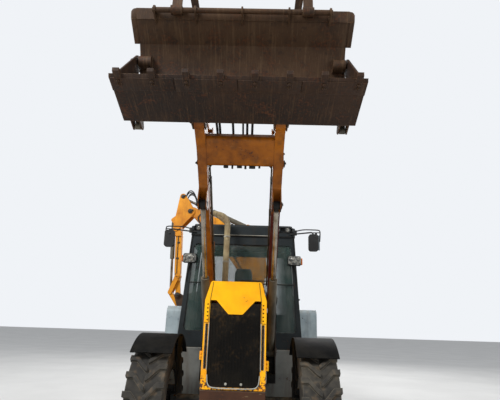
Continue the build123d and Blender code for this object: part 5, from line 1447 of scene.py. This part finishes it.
class LOADER_OT_backhoe_lines(bpy.types.Operator):
    """Runs the backhoe's pipes, hose loops and clamps"""

    bl_idname = "loader.backhoe_lines"
    bl_label = "Backhoe lines"

    def boom_lines(self):
        pipes, hoses, clamps, loops = [], [], [], []
        for way in (-1, 1):
            for lane in (88, 106):
                guide = ((90, 3312), (300, 3434), (550, 3574), (900, 3734), (1560, 4034), (1580, 4060))
                pipes.append(run(on_hoe, [(way * lane, *spot) for spot in guide], 0.008))
            for outward, up in ((420, 3502), (780, 3680), (1120, 3834), (1440, 3979)):
                low, high = (way * 97 - 22, outward + 14, up - 14), (way * 97 + 22, outward - 14, up + 18)
                clamps.append(slab(on_hoe, low, high))
            for lane, rise in ((88, 0), (106, 34)):
                guide = (
                    (1550, 4030), (1590, 4110), (1620, 4260 + rise), (1700, 4400 + rise), (1800, 4390 + rise),
                    (1850, 4260), (1810, 4120),
                )
                loop = [(way * lane, *spot) for spot in guide] + [(way * lane * 0.9, 1740, 4060)]
                loops.append(run(on_hoe, loop, 0.0125))
        hoses.append(ring(on_hoe(-129, 1420, 3792), (0, 1, 0), 0.118, 0.0115, 48))
        feed = (
            (-129, 1538, 3792), (-130, 1500, 3690), (-130, 1250, 3500), (-130, 900, 3180), (-129, 700, 2960),
            (-124, 560, 2720),
        )
        hoses.append(run(on_hoe, feed, 0.0115))
        for outward, up in ((1420, 3674), (1250, 3510), (900, 3190), (700, 2970)):
            clamps.append(slab(on_hoe, (-146, outward + 18, up - 18), (-114, outward - 18, up + 18)))
        hand_over(joined(pipes), "boom_pipes", "line steel", "boom", "black_parts")
        hand_over(joined(hoses), "boom_hoses", "hose rubber", "boom", "black_parts")
        hand_over(joined(clamps), "boom_clamps", "black plastic", "boom", "black_parts")
        bend = hand_over(joined(loops), "hose_loops", "hose rubber", None, "black_parts")
        tuple(on_hoe(0, 1560, 4050))
        tuple(on_hoe(0, 1850, 4330))
        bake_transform(bend)

    def dipper_lines(self):
        straps, pipes = [], []
        for up in (2560, 2900, 3240):
            for way in (-1, 1):
                straps.append(slab(on_hoe, (way * 92 - 6, 1960, up), (way * 92 + 6, 1900, up + 36), 0.003))
        for way in (-1, 1):
            guide = ((95, 1948, 3600), (95, 1944, 3300), (94, 1930, 2800), (92, 1915, 2520), (80, 1900, 2470))
            pipes.append(run(on_hoe, [(way * sideways, *rest) for sideways, *rest in guide], 0.009))
        hand_over(joined(pipes), "dipper_pipes", "line steel", "dipper", "black_parts")
        hand_over(joined(straps), "dipper_straps", "black plastic", "dipper", "black_parts")

    def execute(self, context):
        self.boom_lines()
        self.dipper_lines()
        return {"FINISHED"}


class LOADER_OT_frame_fittings(bpy.types.Operator):
    """Fits the tanks' straps and vents, and the frame's bolts"""

    bl_idname = "loader.frame_fittings"
    bl_label = "Frame fittings"

    def execute(self, context):
        low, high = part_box("tanks")
        long = high.y - low.y
        straps, bolts = [], []
        for hand in (RIGHT, LEFT):
            outer = high.x if hand > 0 else low.x
            near, far = sorted((outer - hand * 0.001, outer + hand * 0.005))
            for share in (0.22, 0.5, 0.78):
                along = low.y + long * share
                foot, head = (near, along - 0.022, low.z + 0.02), (far, along + 0.022, high.z - 0.02)
                straps.append(block(foot, head, 0.002))
                spot = Vector((outer + hand * 0.005, along, low.z + 0.07))
                bolts.append(stood(bolt((0, 0, 0), 0.020), spot, (hand, 0, 0)))
            near, far = sorted((outer - hand * 0.001, outer + hand * 0.004))
            for vent in range(8):
                up = low.z + 0.14 + 0.036 * vent
                foot, head = (near, low.y + long * 0.28, up), (far, low.y + long * 0.44, up + 0.012)
                straps.append(block(foot, head, 0.002))
        hand_over(joined(straps), "tank_straps", "black plastic", "machine", "black_parts")
        for across in (-840, -700, -560, -420, 420, 560, 700, 840):
            for up in (450, 1150):
                bolts.append(stood(bolt((0, 0, 0), 0.030), place(across, 3055, up), (0, 1, 0)))
        for across in (-220, -140, 140, 220):
            for up in (600, 780):
                bolts.append(stood(bolt((0, 0, 0), 0.028), place(across, NOSE_FRONT, up), (0, -1, 0)))
        hand_over(joined(bolts), "frame_bolts", "zinc", "machine", "engine_iron")
        return {"FINISHED"}


class LOADER_OT_stage(bpy.types.Operator):
    """Sets the floor, the lamps, the pale surroundings and the camera"""

    bl_idname = "loader.stage"
    bl_label = "Stage"

    def floor(self):
        nothing_selected()
        bpy.ops.mesh.primitive_plane_add(size=160, location=(0, 0, 0))
        floor = settle(bpy.context.object)
        floor.name = "studio_floor"
        f = Finish("studio floor")
        colour = f.mix(tone(214, 213, 210), tone(206, 205, 202), f.noise(0.6, 4.0).between(0.3, 0.7))
        floor.data.materials.append(f.shade(Base_Color=colour, Roughness=0.9))

    def surroundings(self, scene):
        """A pale world, as bright as the picture's sky where the camera sees it and softer as a light."""
        world = bpy.data.worlds.new("studio")
        scene.world = world
        world.use_nodes = True
        tree = world.node_tree
        tree.nodes.clear()
        path = tree.nodes.new("ShaderNodeLightPath")
        seen = tree.nodes.new("ShaderNodeMath")
        seen.operation = "MAXIMUM"
        tree.links.new(path.outputs["Is Camera Ray"], seen.inputs[0])
        tree.links.new(path.outputs["Is Transmission Ray"], seen.inputs[1])
        mixer = tree.nodes.new("ShaderNodeMixShader")
        tree.links.new(seen.outputs[0], mixer.inputs[0])
        for slot, colour, strength in ((1, tone(236, 240, 246), 0.62), (2, tone(240, 243, 247), 1.0)):
            light = tree.nodes.new("ShaderNodeBackground")
            light.inputs["Color"].default_value = colour
            light.inputs["Strength"].default_value = strength
            tree.links.new(light.outputs[0], mixer.inputs[slot])
        out = tree.nodes.new("ShaderNodeOutputWorld")
        tree.links.new(mixer.outputs[0], out.inputs[0])

    def lamps(self):
        for name, where, size, power in (
            ("key", (-9.0, -11.0, 13.0), 6.0, 2600),
            ("fill", (11.0, -6.0, 8.0), 8.0, 700),
            ("back", (2.0, 12.0, 10.0), 8.0, 900),
        ):
            bpy.ops.object.light_add(type="AREA", location=where)
            lamp = bpy.context.object
            lamp.name = "studio_" + name
            lamp.data.shape = "DISK"
            lamp.data.size = size
            lamp.data.energy = power
            aim = Vector((0, 0, 2.2)) - Vector(where)
            lamp.rotation_euler = aim.to_track_quat("-Z", "Y").to_euler()

    def camera(self, scene):
        bpy.ops.object.camera_add(location=CAMERA_PLACE)
        camera = bpy.context.object
        camera.name = "camera"
        camera.data.sensor_width = 36
        camera.data.lens = CAMERA_LENS
        yaw, pitch, roll = (math.radians(angle) for angle in CAMERA_YAW_PITCH_ROLL)
        ahead = Vector((-math.sin(yaw) * math.cos(pitch), math.cos(yaw) * math.cos(pitch), math.sin(pitch)))
        turn = ahead.to_track_quat("-Z", "Y") @ Quaternion((0, 0, 1), roll)
        camera.rotation_euler = turn.to_euler()
        camera.data.dof.use_dof = False
        scene.camera = camera

    def execute(self, context):
        self.floor()
        self.surroundings(context.scene)
        self.lamps()
        self.camera(context.scene)
        context.scene.view_settings.view_transform = "Standard"
        return {"FINISHED"}


class LOADER_PT_dressing(bpy.types.Panel):
    """Lists what dresses the loader"""

    bl_idname = "LOADER_PT_dressing"
    bl_label = "Backhoe Loader"
    bl_space_type = "VIEW_3D"
    bl_region_type = "UI"
    bl_category = "Loader"

    def draw(self, context):
        layout = self.layout
        colours = context.scene.loader_colours
        sizes = context.scene.loader_sizes
        for group in (colours, sizes):
            for name in group.bl_rna.properties.keys():
                if name not in ("rna_type", "name"):
                    layout.prop(group, name)
        for operator in OPERATORS:
            layout.operator(operator.bl_idname)


OPERATORS = (
    LOADER_OT_finishes, LOADER_OT_tyres, LOADER_OT_wheel_fittings, LOADER_OT_seat, LOADER_OT_arm_lines,
    LOADER_OT_pins, LOADER_OT_hood_trim, LOADER_OT_lights, LOADER_OT_cab_trim, LOADER_OT_exhaust_sleeve,
    LOADER_OT_bucket_trim, LOADER_OT_backhoe_lines, LOADER_OT_frame_fittings, LOADER_OT_stage,
)
CLASSES = (LoaderColours, LoaderSizes, *OPERATORS, LOADER_PT_dressing)


def register():
    for each in CLASSES:
        bpy.utils.register_class(each)
    bpy.types.Scene.loader_colours = bpy.props.PointerProperty(type=LoaderColours)
    bpy.types.Scene.loader_sizes = bpy.props.PointerProperty(type=LoaderSizes)


def unregister():
    del bpy.types.Scene.loader_sizes
    del bpy.types.Scene.loader_colours
    for each in reversed(CLASSES):
        bpy.utils.unregister_class(each)


def main():
    register()
    for operator in OPERATORS:
        group, name = operator.bl_idname.split(".")
        getattr(getattr(bpy.ops, group), name)()


if __name__ == "__main__":
    main()
